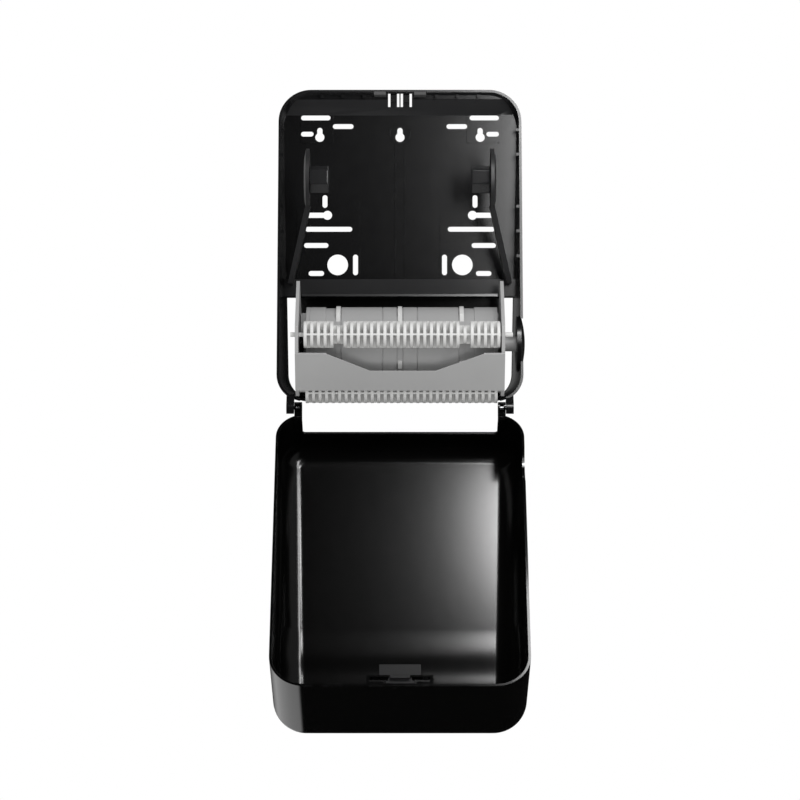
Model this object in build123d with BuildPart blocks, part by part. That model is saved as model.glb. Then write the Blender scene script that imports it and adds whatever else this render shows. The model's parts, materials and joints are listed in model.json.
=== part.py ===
from build123d import *
import os
from math import atan2, cos, degrees, hypot, radians, sin, sqrt, tan

# Roll towel dispenser with its front cover hanging open, in millimetres.
# The wall is at y = 0, the viewer looks along +Y, and +Z is up.
# A depth is a distance from the wall towards the viewer.
# The origin is on the wall, midway between the two rows of screw slots.

# Shared clearances
overrun = 3.0
running_fit = 0.05
screw_fit = 0.1
body_gap = 0.5

# Casing: a tray whose rim lies in a tilted parting plane
case_half = 134.0
case_top = 100.5
case_bottom = -244.0
case_wall = 2.8
plate_wall = 3.0
rim_top_depth = 18.0
hinge_depth = 90.0
hinge_drop = 7.0
wall_draft = 5.0
top_slope = 6.5
top_corner = 36.0
bottom_corner = 30.0
hinge_height = case_bottom - hinge_drop
tilt = degrees(atan2(hinge_depth - rim_top_depth, case_top - hinge_height))

# Screw slots and keyholes of the back plate, with insets from the casing's side
slot_width = 5.6
upper_slot_inset = 40.5
upper_slot_z = 70.8
upper_slot_length = 32.7
inner_slot_inset = 70.9
inner_slot_z = 61.3
inner_slot_length = 23.0
corner_slot_inset = 31.1
corner_slot_z = 52.8
corner_slot_length = 14.0
middle_slot_inset = 55.0
middle_slot_z = -52.8
middle_slot_length = 52.0
lower_slot_inset = 41.0
lower_slot_length = 27.0
foot_slot_inset = 41.1
foot_slot_z = -101.9
foot_slot_length = 17.2
high_upright_inset = 50.7
high_upright_z = -22.0
high_upright_length = 14.2
low_upright_inset = 84.6
low_upright_length = 23.0
cable_hole_inset = 64.8
cable_hole_z = -92.4
cable_hole_radius = 11.5
keyhole_inset = 45.0
keyhole_z = 49.2
keyhole_radius = 5.1
keyhole_neck = 6.0
keyhole_rise = 7.7
side_keyhole_inset = 53.5
side_keyhole_z = -37.3
side_keyhole_reach = 24.5

# Relief of the back plate, with insets from the casing's side
relief = 0.9
pad_inner_inset = 89.6
pad_step_inset = 44.0
pad_outer_inset = 20.0
pad_inner_top = -12.5
pad_outer_top = -28.6
pad_corner = 3.0
small_pad_inner_inset = 60.0
small_pad_outer_inset = 24.0
small_pad_bottom = 43.0
ring_radius = 11.9
ring_width = 1.2
ring_z = 53.6
spine_half = 5.7
spine_width = 1.2
ramp_drop = 27.1
ramp_crease_drop = 10.1
ramp_depth = 11.0

# Feed drum, from which the heights of the feed unit and the cross band are given
drum_rise = 63.0
drum_depth = 55.0
drum_radius = 40.0
drum_height = case_bottom + drum_rise

# Frame of the feed unit, from which its widths are given
frame_inset = 21.0
frame_wall = 3.7
frame_half = case_half - frame_inset
frame_inner = frame_half - frame_wall

# Cross band, side windows and paper exit of the back plate
band_rise = 72.0
band_height = 19.0
band_depth = 22.0
band_wall = 3.0
band_bite = 0.4
lip_height = 2.6
lip_reach = 3.5
lip_inset = 5.0
window_rise = 52.0
window_ledge = 0.5
tongue_inset = 6.0
tongue_lift = 8.0
exit_inset = 4.0
exit_back = 46.0
exit_height = 9.0
ear_relief_gap = 0.2
ear_relief_back = 78.0
band_top = drum_height + band_rise
band_bottom = band_top - band_height
window_top = drum_height + window_rise

# Small ribs round the rim that guide the cover
rim_rib_height = 3.0
rim_rib_reach = 3.6
rim_rib_length = 9.0
rim_rib_setback = 1.0
side_rib_high_z = 55.8
side_rib_pitch = 27.4
side_rib_low_z = -29.7
top_rib_inner_x = 40.0
top_rib_inset = 47.4
top_rib_width = 3.0

# Latch tongues and rubber pads at the top of the back plate
latch_drop = 18.0
latch_top_drop = 3.5
latch_slot = 2.6
latch_inner_x = 2.0
latch_outer_x = 11.9
tongue_nose_drop = 13.0
tongue_nose_height = 7.5
tongue_nose_depth = 15.5
buffer_inner_x = 15.5
buffer_outer_x = 28.8
buffer_height = 4.0
buffer_length = 5.5
buffer_recess = 1.5

# Hinge of the cover
knuckle_radius = 6.4
hinge_pin_radius = 2.0
ear_inset = 11.0
ear_wall = 8.2
ear_gap = 0.6
ear_slot_width = 4.6
case_ear_reach = 18.0
case_ear_rise = 7.5
case_ear_setback = 4.6
cover_ear_reach = 12.0
cover_ear_rise = 6.0
case_ear_outer = case_half - ear_inset
case_ear_inner = case_ear_outer - ear_wall
cover_ear_outer = case_ear_inner - ear_gap
cover_ear_inner = cover_ear_outer - ear_wall

# Roll arms and hubs
roll_depth = 85.0
roll_height = -3.4
arm_pivot_inset = 14.4
arm_pivot_drop = 2.5
arm_pin_radius = 1.6
arm_pin_length = 24.0
arm_boss_radius = 4.4
arm_wall = 5.4
arm_foot_width = 24.0
arm_neck_width = 26.0
arm_foot_drop = 3.2
arm_head_inset = 36.0
arm_head_radius = 33.5
arm_head_wall = 5.6
arm_head_crown = 2.0
arm_head_crown_radius = 24.0
hub_length = 20.6
hub_radius = 15.6
hub_turn_angle = 10.0
hub_edge = 2.5
hub_clearance = 0.4
hub_pin_radius = 4.0
hub_pin_head = 6.5
hub_pin_head_wall = 2.6
hub_recess = 3.4
arm_pivot_x = case_half - arm_pivot_inset
arm_pivot_z = band_top - arm_pivot_drop
arm_head_inner = case_half - arm_head_inset

# Drum shells, shaft and bushes, with insets from the inside of the frame
drum_left_inset = 7.3
drum_right_inset = 3.3
drum_wall = 2.8
drum_groove = 4.0
wide_groove_inset = 28.5
wide_groove_width = 17.3
narrow_groove_half = 3.5
seam_x = 18.8
seam_width = 1.0
seam_groove = 1.0
cap_wall = 4.0
cap_spigot = 6.0
shaft_radius = 5.0
shaft_overhang = 4.0
bush_wall = 2.5
bush_flange = 2.6
bush_flange_wall = 1.5

# Pinch rollers, with insets from the inside of the frame
paper_gap = 0.6
roller_radius = 14.4
upper_roller_rise = 9.0
lower_roller_forward = 22.0
disc_pitch = 7.13
disc_wall = 3.4
web_wall = 1.9
web_reach = 14.2
lower_web_angle = -15.0
neck_radius = 9.8
neck_length = 14.3
stub_radius = 2.5
stub_fit = 0.15
left_stub_overhang = 5.0
right_stub_overhang = 8.5
left_disc_inset = 7.5
right_disc_inset = 3.3
end_discs = 5
lower_disc_inset = 5.9

# Side plate outline and front panel
side_back_rise = 36.0
side_back_lift = 14.0
side_shoulder_depth = 26.0
side_shoulder_rise = 50.0
side_tip_back = 54.0
side_tip_front = 62.0
side_tip_rise = 68.5
side_brow_rise = 18.0
side_foot_front = 86.0
side_foot_back = 66.0
side_foot_gap = 0.6
flange_width = 21.0
flange_wall = 3.5
flange_rise = 35.0
flange_lift = 16.0
module_screw_inset = 14.0
module_screw_margin = 6.0
screw_radius = 2.0
screw_head = 3.6
screw_head_wall = 2.4
screw_bite = 2.6
panel_top_depth = 120.2
panel_top_drop = 11.9
panel_foot_depth = 97.5
panel_foot_drop = 51.5
panel_wall = 2.5
notch_left_inset = 34.0
notch_right_inset = 23.0
notch_bottom_left = -32.3
notch_bottom_right = 38.4
notch_height = 18.0
tab_wall = 2.0
tab_reach = 12.0
flange_top = drum_height + flange_rise
flange_bottom = case_bottom + flange_lift
panel_top_z = drum_height - panel_top_drop
panel_foot_z = drum_height - panel_foot_drop

# Paper guide: a rail with three stripper fingers, proud of the drum above its grooves
rail_wall = 4.0
rail_rise = 23.0
rail_height = 16.0
finger_width = 4.6
finger_inset = 42.3
finger_wall = 2.6
finger_sink = 0.6
finger_rise = 1.2
finger_brow_rise = 3.0
finger_start_angle = -42.0
finger_foot_angle = 38.0
finger_brow_angle = 48.0
finger_crown_angle = 100.0
finger_end_angle = 172.0

# Knife inside the drum, set out along the direction of its slot
knife_angle = 150.0
slot_lead = 2.6
slot_trail = 13.6
drum_seam_angle = 285.0
pivot_radial = 15.0
pivot_lateral = 22.0
pivot_boss = 3.8
pivot_radius = 2.4
seat_inner = 15.0
seat_outer = 25.0
seat_wall = 2.8
blade_wall = 1.2
blade_root = 16.0
blade_shoulder = 27.0
blade_tip = 36.5
tooth_height = 2.6
tooth_pitch = 5.0
blade_screw_x = 40.0
blade_screw_radial = 20.5
blade_screw_radius = 1.2
blade_screw_head = 2.2
blade_screw_head_wall = 1.3
follower_radial = 12.0
follower_lateral = 8.0
follower_radius = 2.5
follower_pin = 1.2
lever_wall = 1.8
lever_half = 3.2
cam_wall = 4.2
cam_radius = 9.6
cam_lobe_radius = 4.0
cam_lobe_offset = 7.4
cam_lobe_angle = 3.7

# Knob on the right
knob_radius = 30.0
knob_inset = 7.0
knob_edge_wall = 5.0
knob_dome = 4.4
knob_clearance = 1.2
knob_sleeve_radius = 8.2
knob_screw_radius = 2.0
knob_screw_head = 4.5
knob_screw_head_wall = 1.8
knob_screw_length = 12.0
knob_inner = case_half - knob_inset

# Cover, given in its closed position and built swung open
open_angle = 153.0
cover_step = 0.4
cover_lift = 1.6
cover_depth = 171.0
cover_wall = 2.6
cover_edge = 24.0
cover_rim_gap = 0.6
cover_notch_depth = 131.0
cover_notch_height = 20.0
cover_notch_corner = 3.0
key_slot_width = 12.0
key_slot_height = 3.0
cover_half = case_half - cover_step
cover_bottom = case_bottom + cover_lift
cover_roof = case_top - cover_wall

# Lock inside the far end of the cover
lock_depth = 21.5
lock_wall = 3.2
lock_travel = 3.0
lock_clearance = 0.5
lock_head_half = 21.3
lock_head_drop = 24.9
lock_head_height = 12.0
lock_neck_half = 12.3
lock_block_half = 14.8
lock_block_height = 2.9
lock_lip_half = 10.0
lock_lip_height = 2.5
lock_lip_reach = 3.5
lock_lip_setback = 1.8
bracket_half = 34.0
bracket_leg = 3.5
bracket_bar_height = 2.1
bracket_back_wall = 2.5
bracket_foot_wall = 2.4
bracket_foot_depth = 38.0
bracket_foot_inner = 17.0
bracket_screw_x = 26.0
bracket_screw_depth = 33.0
bracket_screw_radius = 1.4
bracket_screw_head = 2.8
bracket_screw_head_wall = 1.8
bracket_screw_bite = 2.0
keeper_wall = 1.2
keeper_reach = 1.8
lock_head_bottom = case_top - lock_head_drop
lock_head_top = lock_head_bottom + lock_head_height
bracket_bar_bottom = lock_head_top + lock_clearance
bracket_bar_top = bracket_bar_bottom + bracket_bar_height
lock_block_bottom = bracket_bar_top + lock_clearance + lock_travel
lock_block_top = lock_block_bottom + lock_block_height


# Planes and shared outlines

def front_plane(depth):
    """Plane parallel to the wall at a depth: local x = X, local y = height, normal to the viewer."""
    return Plane(origin=(0, -depth, 0), x_dir=(1, 0, 0), z_dir=(0, -1, 0))


def side_plane(x, depth=0.0, height=0.0, turn=0.0):
    """Plane square to X: local x forward and local y up, turned by an angle; its normal is -X."""
    forward = (0, -cos(radians(turn)), sin(radians(turn)))
    return Plane(origin=(x, -depth, height), x_dir=forward, z_dir=(-1, 0, 0))


def top_plane(height):
    """Level plane at a height: local x = X and local y = towards the wall."""
    return Plane(origin=(0, 0, height), x_dir=(1, 0, 0), z_dir=(0, 0, 1))


open_forward = Vector(0, -cos(radians(open_angle)), -sin(radians(open_angle)))
open_up = Vector(0, -sin(radians(open_angle)), cos(radians(open_angle)))
hinge_point = Vector(0, -hinge_depth, hinge_height)


def cover_plane(depth):
    """The closed cover's front_plane(depth), carried round the hinge by the opening angle."""
    origin = hinge_point + open_forward * (depth - hinge_depth) - open_up * hinge_height
    return Plane(origin=origin, x_dir=(1, 0, 0), z_dir=open_forward)


def cover_side_plane(x):
    """The closed cover's side_plane(x), carried round the hinge by the opening angle."""
    origin = hinge_point - open_forward * hinge_depth - open_up * hinge_height + Vector(x, 0, 0)
    return Plane(origin=origin, x_dir=open_forward, z_dir=(-1, 0, 0))


def cover_top_plane(height):
    """The closed cover's top_plane(height), carried round the hinge by the opening angle."""
    origin = hinge_point - open_forward * hinge_depth + open_up * (height - hinge_height)
    return Plane(origin=origin, x_dir=(1, 0, 0), z_dir=open_up)


def rim_depth(height):
    """Depth of the parting plane at a height."""
    return hinge_depth - (height - hinge_height) * tan(radians(tilt))


def wall_half(height, depth):
    """Half width of the drafted casing, outside, at a height and a depth."""
    return case_half - (rim_depth(height) - depth) * tan(radians(wall_draft))


def tray_outline(bottom, top, bottom_half, top_half, inset):
    """Four-sided outline with rounded corners, drawn in by a wall."""
    corners = [
        (-bottom_half + inset, bottom + inset),
        (bottom_half - inset, bottom + inset),
        (top_half - inset, top - inset),
        (-top_half + inset, top - inset),
    ]
    low_radius = bottom_corner - inset
    high_radius = top_corner - inset
    with BuildLine() as outline:
        FilletPolyline(*corners, radius=[low_radius, low_radius, high_radius, high_radius], close=True)
    make_face(outline.edges())


def polygon(*points):
    """Closed face through points of the active sketch."""
    with BuildLine() as outline:
        Polyline(*points, close=True)
    make_face(outline.edges())


def finish(part, label):
    """Name a finished piece and write it."""
    part.label = label
    export_step(part, f"parts/{label}.step")


os.makedirs("parts", exist_ok=True)

parting = Plane(
    origin=(0, -hinge_depth, hinge_height),
    x_dir=(1, 0, 0),
    z_dir=(0, -cos(radians(tilt)), sin(radians(tilt))),
)
rim_low = (case_bottom - hinge_height) / cos(radians(tilt))
rim_high = (case_top - hinge_height) / cos(radians(tilt))
wall_top = case_top - top_slope
top_fall = top_slope / rim_top_depth
roof_back = wall_top + plate_wall * top_fall - case_wall
low_half = wall_half(case_bottom, 0)
high_half = wall_half(wall_top, 0)
front_low_half = wall_half(case_bottom, plate_wall)
front_high_half = wall_half(wall_top, plate_wall)
knuckle_side = knuckle_radius * cos(radians(45))
band_middle = (band_top + band_bottom) / 2
band_half = wall_half(band_middle, band_depth) - case_wall + band_bite
lip_half = frame_half - lip_inset
tongue_half = frame_half - tongue_inset
tongue_bottom = case_bottom + tongue_lift
exit_half = frame_half - exit_inset
ear_relief_half = case_ear_inner - ear_relief_gap
upper_slot_x = case_half - upper_slot_inset
lower_slot_x = case_half - lower_slot_inset
lower_slot_z = -upper_slot_z
keyhole_x = case_half - keyhole_inset
side_keyhole_x = case_half - side_keyhole_inset
pad_inner_x = case_half - pad_inner_inset
pad_step_x = case_half - pad_step_inset
pad_outer_x = case_half - pad_outer_inset
small_pad_inner = case_half - small_pad_inner_inset
small_pad_outer = case_half - small_pad_outer_inset
ramp_bottom = case_top - ramp_drop
ramp_crease = case_top - ramp_crease_drop
latch_bottom = case_top - latch_drop
latch_top = case_top - latch_top_drop
top_rib_pitch = (case_half - top_rib_inset - top_rib_inner_x) / 2
module_screw_x = frame_half - module_screw_inset
module_screw_zs = [flange_top - module_screw_margin, flange_bottom + module_screw_margin]
side_rib_zs = [
    side_rib_high_z,
    side_rib_high_z - side_rib_pitch,
    side_rib_low_z,
    side_rib_low_z - side_rib_pitch,
    side_rib_low_z - side_rib_pitch - side_rib_pitch,
]



def tray_block(inset):
    """Solid of the casing's outside, drawn in by a share of the wall."""
    with BuildPart() as block:
        with BuildSketch(parting) as rim:
            tray_outline(rim_low, rim_high, case_half, case_half, inset)
        with BuildSketch(front_plane(0)) as foot:
            tray_outline(case_bottom, wall_top, low_half, high_half, inset)
        loft([rim.sketch, foot.sketch], ruled=True)
    return block.part


def buffer_profile(front):
    """Outline of a rubber pad that is let into the top wall, in the active side sketch."""
    buffer_back = rim_top_depth - buffer_length
    rim_roof = case_top - case_wall * cos(radians(tilt))
    rim_roof_depth = rim_top_depth + case_wall * sin(radians(tilt))
    roof_fall = (rim_roof - roof_back) / (rim_roof_depth - plate_wall)
    front_top = roof_back + roof_fall * (front - plate_wall) + buffer_recess
    back_top = roof_back + roof_fall * (buffer_back - plate_wall) + buffer_recess
    polygon(
        (buffer_back, back_top),
        (front, front_top),
        (front, front_top - buffer_height),
        (buffer_back, back_top - buffer_height),
    )


# Sloped strip under the top wall, as wide as the tray
with BuildPart() as ramp:
    with BuildSketch(side_plane(case_half)):
        polygon(
            (plate_wall, ramp_bottom),
            (ramp_depth, ramp_crease),
            (ramp_depth, case_top),
            (plate_wall, case_top),
        )
    extrude(amount=case_half + case_half)
    add(tray_block(case_wall / 2), mode=Mode.INTERSECT)

# Back plate: the moulded casing that screws to the wall
with BuildPart() as back_plate:
    add(tray_block(0))
    with BuildSketch(parting):
        tray_outline(rim_low, rim_high, case_half, case_half, case_wall)
    with BuildSketch(front_plane(plate_wall)):
        tray_outline(
            case_bottom, wall_top + plate_wall * top_fall, front_low_half, front_high_half, case_wall
        )
    loft(ruled=True, mode=Mode.SUBTRACT)
    add(ramp.part)
    # raised pads, ring and spine of the plate
    with BuildSketch(front_plane(plate_wall)):
        for side in (-1, 1):
            with BuildLine():
                FilletPolyline(
                    (side * pad_inner_x, band_middle),
                    (side * pad_inner_x, pad_inner_top),
                    (side * pad_step_x, pad_inner_top),
                    (side * pad_step_x, pad_outer_top),
                    (side * pad_outer_x, pad_outer_top),
                    (side * pad_outer_x, band_middle),
                    radius=pad_corner,
                    close=True,
                )
            make_face()
            polygon(
                (side * small_pad_inner, small_pad_bottom),
                (side * small_pad_inner, ramp_bottom),
                (side * small_pad_outer, ramp_bottom),
                (side * small_pad_outer, small_pad_bottom),
            )
            polygon(
                (side * spine_half, band_top),
                (side * spine_half, ring_z - ring_radius),
                (side * (spine_half - spine_width), ring_z - ring_radius),
                (side * (spine_half - spine_width), band_top),
            )
        with Locations((0, ring_z)):
            Circle(ring_radius)
            Circle(ring_radius - ring_width, mode=Mode.SUBTRACT)
    extrude(amount=relief)
    # cross band with its lower lip
    with BuildSketch(side_plane(band_half)):
        polygon(
            (plate_wall, band_top),
            (band_depth, band_top),
            (band_depth, band_bottom),
            (band_depth - band_wall, band_bottom),
            (band_depth - band_wall, band_top - band_wall),
            (plate_wall, band_top - band_wall),
        )
    extrude(amount=band_half + band_half)
    with BuildSketch(side_plane(lip_half)):
        polygon(
            (band_depth, band_bottom),
            (band_depth + lip_reach, band_bottom),
            (band_depth + lip_reach, band_bottom + lip_height),
            (band_depth, band_bottom + lip_height),
        )
    extrude(amount=lip_half + lip_half)
    # bosses for the roll arms
    with BuildSketch(front_plane(plate_wall)):
        for side in (-1, 1):
            with Locations((side * arm_pivot_x, arm_pivot_z)):
                Circle(arm_boss_radius)
    extrude(amount=band_depth - plate_wall)
    # noses of the two latch tongues
    with BuildSketch(front_plane(plate_wall)):
        nose_middle = case_top - tongue_nose_drop + tongue_nose_height / 2
        nose_width = latch_outer_x - latch_inner_x - latch_slot - body_gap
        for side in (-1, 1):
            with Locations((side * (latch_inner_x + latch_outer_x) / 2, nose_middle)):
                Rectangle(nose_width, tongue_nose_height)
    extrude(amount=tongue_nose_depth - plate_wall)
    # ribs round the rim
    for height in side_rib_zs:
        rib_front = rim_depth(height) - rim_rib_setback
        rib_outer = wall_half(height, rib_front) - case_wall / 2
        rib_inner = wall_half(height, rib_front) - case_wall - rim_rib_reach
        with BuildSketch(front_plane(rib_front - rim_rib_length)):
            for side in (-1, 1):
                with Locations((side * (rib_inner + rib_outer) / 2, height)):
                    Rectangle(rib_outer - rib_inner, rim_rib_height)
        extrude(amount=rim_rib_length)
    with BuildSketch(front_plane(rim_top_depth - rim_rib_setback - rim_rib_length)):
        rib_top = case_top - case_wall / 2 - top_fall * (rim_rib_setback + rim_rib_length)
        for index in range(3):
            rib_x = top_rib_inner_x + index * top_rib_pitch
            with Locations((-rib_x, rib_top - rim_rib_reach / 2), (rib_x, rib_top - rim_rib_reach / 2)):
                Rectangle(top_rib_width, rim_rib_reach)
    extrude(amount=rim_rib_length)
    # windows beside and below the feed unit
    window_margin = case_wall + window_ledge
    window_bottom = case_bottom + window_margin
    window_low_half = wall_half(window_bottom, plate_wall) - window_margin
    window_high_half = wall_half(window_top, plate_wall) - window_margin
    window_corner = bottom_corner - window_margin
    with BuildSketch(front_plane(-overrun)):
        with BuildLine():
            FilletPolyline(
                (-window_high_half, window_top),
                (-window_low_half, window_bottom),
                (window_low_half, window_bottom),
                (window_high_half, window_top),
                radius=[0, window_corner, window_corner, 0],
                close=True,
            )
        make_face()
        with Locations((0, (window_top + tongue_bottom) / 2)):
            Rectangle(tongue_half + tongue_half, window_top - tongue_bottom, mode=Mode.SUBTRACT)
    extrude(amount=plate_wall + overrun + overrun, mode=Mode.SUBTRACT)
    # paper exit in the bottom wall
    with BuildSketch(front_plane(exit_back)):
        with Locations((0, case_bottom)):
            Rectangle(exit_half + exit_half, exit_height + exit_height)
    extrude(amount=hinge_depth - exit_back + overrun, mode=Mode.SUBTRACT)
    with BuildSketch(front_plane(ear_relief_back)):
        with Locations((0, case_bottom)):
            Rectangle(ear_relief_half + ear_relief_half, exit_height + exit_height)
    extrude(amount=hinge_depth - ear_relief_back + overrun, mode=Mode.SUBTRACT)
    # hinge ears
    for side in (-1, 1):
        ear_right = max(side * case_ear_inner, side * case_ear_outer)
        with BuildSketch(side_plane(ear_right)):
            with Locations((hinge_depth, hinge_height)):
                Circle(knuckle_radius)
            polygon(
                (hinge_depth - case_ear_reach, case_bottom + case_ear_rise),
                (rim_depth(case_bottom) - case_ear_setback, case_bottom + case_ear_rise),
                (hinge_depth + knuckle_side, hinge_height + knuckle_side),
                (hinge_depth - knuckle_side, hinge_height - knuckle_side),
            )
        extrude(amount=case_ear_outer - case_ear_inner)
    # screw slots, keyholes and cable holes
    with BuildSketch(front_plane(-overrun)):
        for side in (-1, 1):
            with Locations((side * upper_slot_x, upper_slot_z)):
                SlotOverall(upper_slot_length, slot_width)
            with Locations((side * (case_half - inner_slot_inset), inner_slot_z)):
                SlotOverall(inner_slot_length, slot_width)
            with Locations((side * (case_half - corner_slot_inset), corner_slot_z)):
                SlotOverall(corner_slot_length, slot_width)
            with Locations((side * (case_half - middle_slot_inset), middle_slot_z)):
                SlotOverall(middle_slot_length, slot_width)
            with Locations((side * lower_slot_x, lower_slot_z)):
                SlotOverall(lower_slot_length, slot_width)
            with Locations((side * (case_half - foot_slot_inset), foot_slot_z)):
                SlotOverall(foot_slot_length, slot_width)
            with Locations((side * (case_half - high_upright_inset), high_upright_z)):
                SlotOverall(high_upright_length, slot_width, rotation=90)
            with Locations((side * (case_half - low_upright_inset), cable_hole_z)):
                SlotOverall(low_upright_length, slot_width, rotation=90)
            with Locations((side * (case_half - cable_hole_inset), cable_hole_z)):
                Circle(cable_hole_radius)
            with Locations((side * side_keyhole_x, side_keyhole_z)):
                Circle(keyhole_radius)
            with Locations((side * (side_keyhole_x + side_keyhole_reach / 2), side_keyhole_z)):
                Rectangle(side_keyhole_reach, keyhole_neck)
        for place in (-keyhole_x, 0, keyhole_x):
            with Locations((place, keyhole_z)):
                Circle(keyhole_radius)
            with Locations((place, keyhole_z + keyhole_rise / 2)):
                SlotOverall(keyhole_rise + keyhole_neck, keyhole_neck, rotation=90)
        for side in (-1, 1):
            for place in (latch_inner_x, latch_outer_x):
                with Locations((side * place, (latch_bottom + latch_top) / 2)):
                    Rectangle(latch_slot, latch_top - latch_bottom)
    extrude(amount=rim_top_depth + overrun + overrun, mode=Mode.SUBTRACT)
    # bores for the unit's screws, the arm pins and the hinge pins
    with BuildSketch(front_plane(-overrun)):
        for side in (-1, 1):
            for height in module_screw_zs:
                with Locations((side * module_screw_x, height)):
                    Circle(screw_radius + screw_fit)
    extrude(amount=plate_wall + overrun + overrun, mode=Mode.SUBTRACT)
    with BuildSketch(front_plane(plate_wall + band_wall)):
        for side in (-1, 1):
            with Locations((side * arm_pivot_x, arm_pivot_z)):
                Circle(arm_pin_radius)
    extrude(amount=band_depth, mode=Mode.SUBTRACT)
    with BuildSketch(side_plane(case_half)):
        with Locations((hinge_depth, hinge_height)):
            Circle(hinge_pin_radius)
    extrude(amount=case_half + case_half, mode=Mode.SUBTRACT)
    # pockets for the rubber pads in the top wall
    for right in (buffer_outer_x, -buffer_inner_x):
        with BuildSketch(side_plane(right)):
            buffer_profile(rim_top_depth + overrun)
        extrude(amount=buffer_outer_x - buffer_inner_x, mode=Mode.SUBTRACT)
    # cut-out for the knob in the right wall
    with BuildSketch(side_plane(case_half + overrun, drum_depth, drum_height)):
        Circle(knob_radius + knob_clearance)
    extrude(amount=case_half + overrun - frame_half - frame_wall, mode=Mode.SUBTRACT)
finish(back_plate.part, "back_plate")

# Rubber pads under the top rim, on which the closed cover rests
with BuildPart() as cover_buffers:
    for right in (buffer_outer_x, -buffer_inner_x):
        with BuildSketch(side_plane(right)):
            buffer_profile(rim_top_depth)
        extrude(amount=buffer_outer_x - buffer_inner_x)
finish(cover_buffers.part, "cover_buffers")

# Hinge pins, fixed in the casing's ears
for side, name in ((-1, "left_hinge_pin"), (1, "right_hinge_pin")):
    with BuildPart() as hinge_pin:
        pin_right = max(side * cover_ear_inner, side * case_ear_outer)
        with BuildSketch(side_plane(pin_right, hinge_depth, hinge_height)):
            Circle(hinge_pin_radius)
        extrude(amount=case_ear_outer - cover_ear_inner)
    finish(hinge_pin.part, name)

# Roll arms: a sloping strap on a pivot at its foot and a round upright head
arm_rise = roll_height - arm_head_radius - arm_pivot_z
arm_run = arm_pivot_x - arm_head_inner - arm_head_wall / 2
arm_lean = degrees(atan2(arm_run, arm_rise))
arm_reach = hypot(arm_run, arm_rise)
foot_back = band_depth + body_gap + body_gap
head_outer = arm_head_inner + arm_head_wall
roll_axis = Axis((0, -roll_depth, roll_height), (1, 0, 0))
for side, arm_name, pin_name, hub_name, hub_pin_name in (
    (-1, "left_roll_arm", "left_arm_pin", "left_hub", "left_hub_pin"),
    (1, "right_roll_arm", "right_arm_pin", "right_hub", "right_hub_pin"),
):
    strap_plane = Plane(
        origin=(side * arm_pivot_x, 0, arm_pivot_z),
        x_dir=(0, -1, 0),
        z_dir=(-cos(radians(arm_lean)), 0, -side * sin(radians(arm_lean))),
    )
    head_plane = Plane(origin=(0, -roll_depth, roll_height), x_dir=(side, 0, 0), z_dir=(0, -side, 0))
    head_right = max(side * arm_head_inner, side * head_outer)
    with BuildPart() as roll_arm:
        with BuildSketch(strap_plane):
            polygon(
                (foot_back, -arm_foot_drop),
                (foot_back + arm_foot_width, -arm_foot_drop),
                (roll_depth + arm_neck_width / 2, arm_reach + arm_wall),
                (roll_depth - arm_neck_width / 2, arm_reach + arm_wall),
                (foot_back, arm_foot_width),
            )
        extrude(amount=arm_wall / 2, both=True)
        with BuildSketch(head_plane):
            polygon(
                (arm_head_inner, 0),
                (arm_head_inner, arm_head_radius),
                (head_outer - arm_head_crown, arm_head_radius),
                (head_outer, arm_head_crown_radius),
                (head_outer, 0),
            )
        revolve(axis=roll_axis)
        with BuildSketch(front_plane(foot_back - overrun)):
            with Locations((side * arm_pivot_x, arm_pivot_z)):
                Circle(arm_pin_radius + running_fit)
        extrude(amount=arm_pin_length, mode=Mode.SUBTRACT)
        with BuildSketch(side_plane(head_right + overrun, roll_depth, roll_height)):
            Circle(hub_pin_radius)
        extrude(amount=arm_head_wall + overrun + overrun, mode=Mode.SUBTRACT)
    finish(roll_arm.part, arm_name)

    with BuildPart() as arm_pin:
        with BuildSketch(front_plane(plate_wall + band_wall)):
            with Locations((side * arm_pivot_x, arm_pivot_z)):
                Circle(arm_pin_radius)
        extrude(amount=foot_back - overrun + arm_pin_length - body_gap - plate_wall - band_wall)
    finish(arm_pin.part, pin_name)

    hub_outer = arm_head_inner - hub_clearance
    hub_inner = hub_outer - hub_length
    hub_right = max(side * hub_inner, side * hub_outer)
    recess_right = max(side * hub_inner, side * (hub_inner + hub_recess))
    head_start = hub_inner + hub_recess - hub_clearance - hub_pin_head_wall
    with BuildPart() as hub:
        with BuildSketch(side_plane(hub_right, roll_depth, roll_height)):
            RegularPolygon(hub_radius, 6, rotation=30 + hub_turn_angle)
        extrude(amount=hub_outer - hub_inner)
        fillet(hub.edges().filter_by(Axis.X), radius=hub_edge)
        chamfer(hub.faces().sort_by(Axis.X)[0 if side > 0 else -1].edges(), length=hub_edge / 2)
        with BuildSketch(side_plane(recess_right, roll_depth, roll_height)):
            Circle(hub_pin_head + hub_clearance)
        extrude(amount=hub_recess, mode=Mode.SUBTRACT)
        with BuildSketch(side_plane(hub_right, roll_depth, roll_height)):
            Circle(hub_pin_radius + running_fit)
        extrude(amount=hub_outer - hub_inner, mode=Mode.SUBTRACT)
    finish(hub.part, hub_name)

    with BuildPart() as hub_pin:
        stem_right = max(side * head_start, side * head_outer)
        with BuildSketch(side_plane(stem_right, roll_depth, roll_height)):
            Circle(hub_pin_radius)
        extrude(amount=head_outer - head_start)
        rivet_right = max(side * head_start, side * (head_start + hub_pin_head_wall))
        with BuildSketch(side_plane(rivet_right, roll_depth, roll_height)):
            Circle(hub_pin_head)
        extrude(amount=hub_pin_head_wall)
    finish(hub_pin.part, hub_pin_name)

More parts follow.
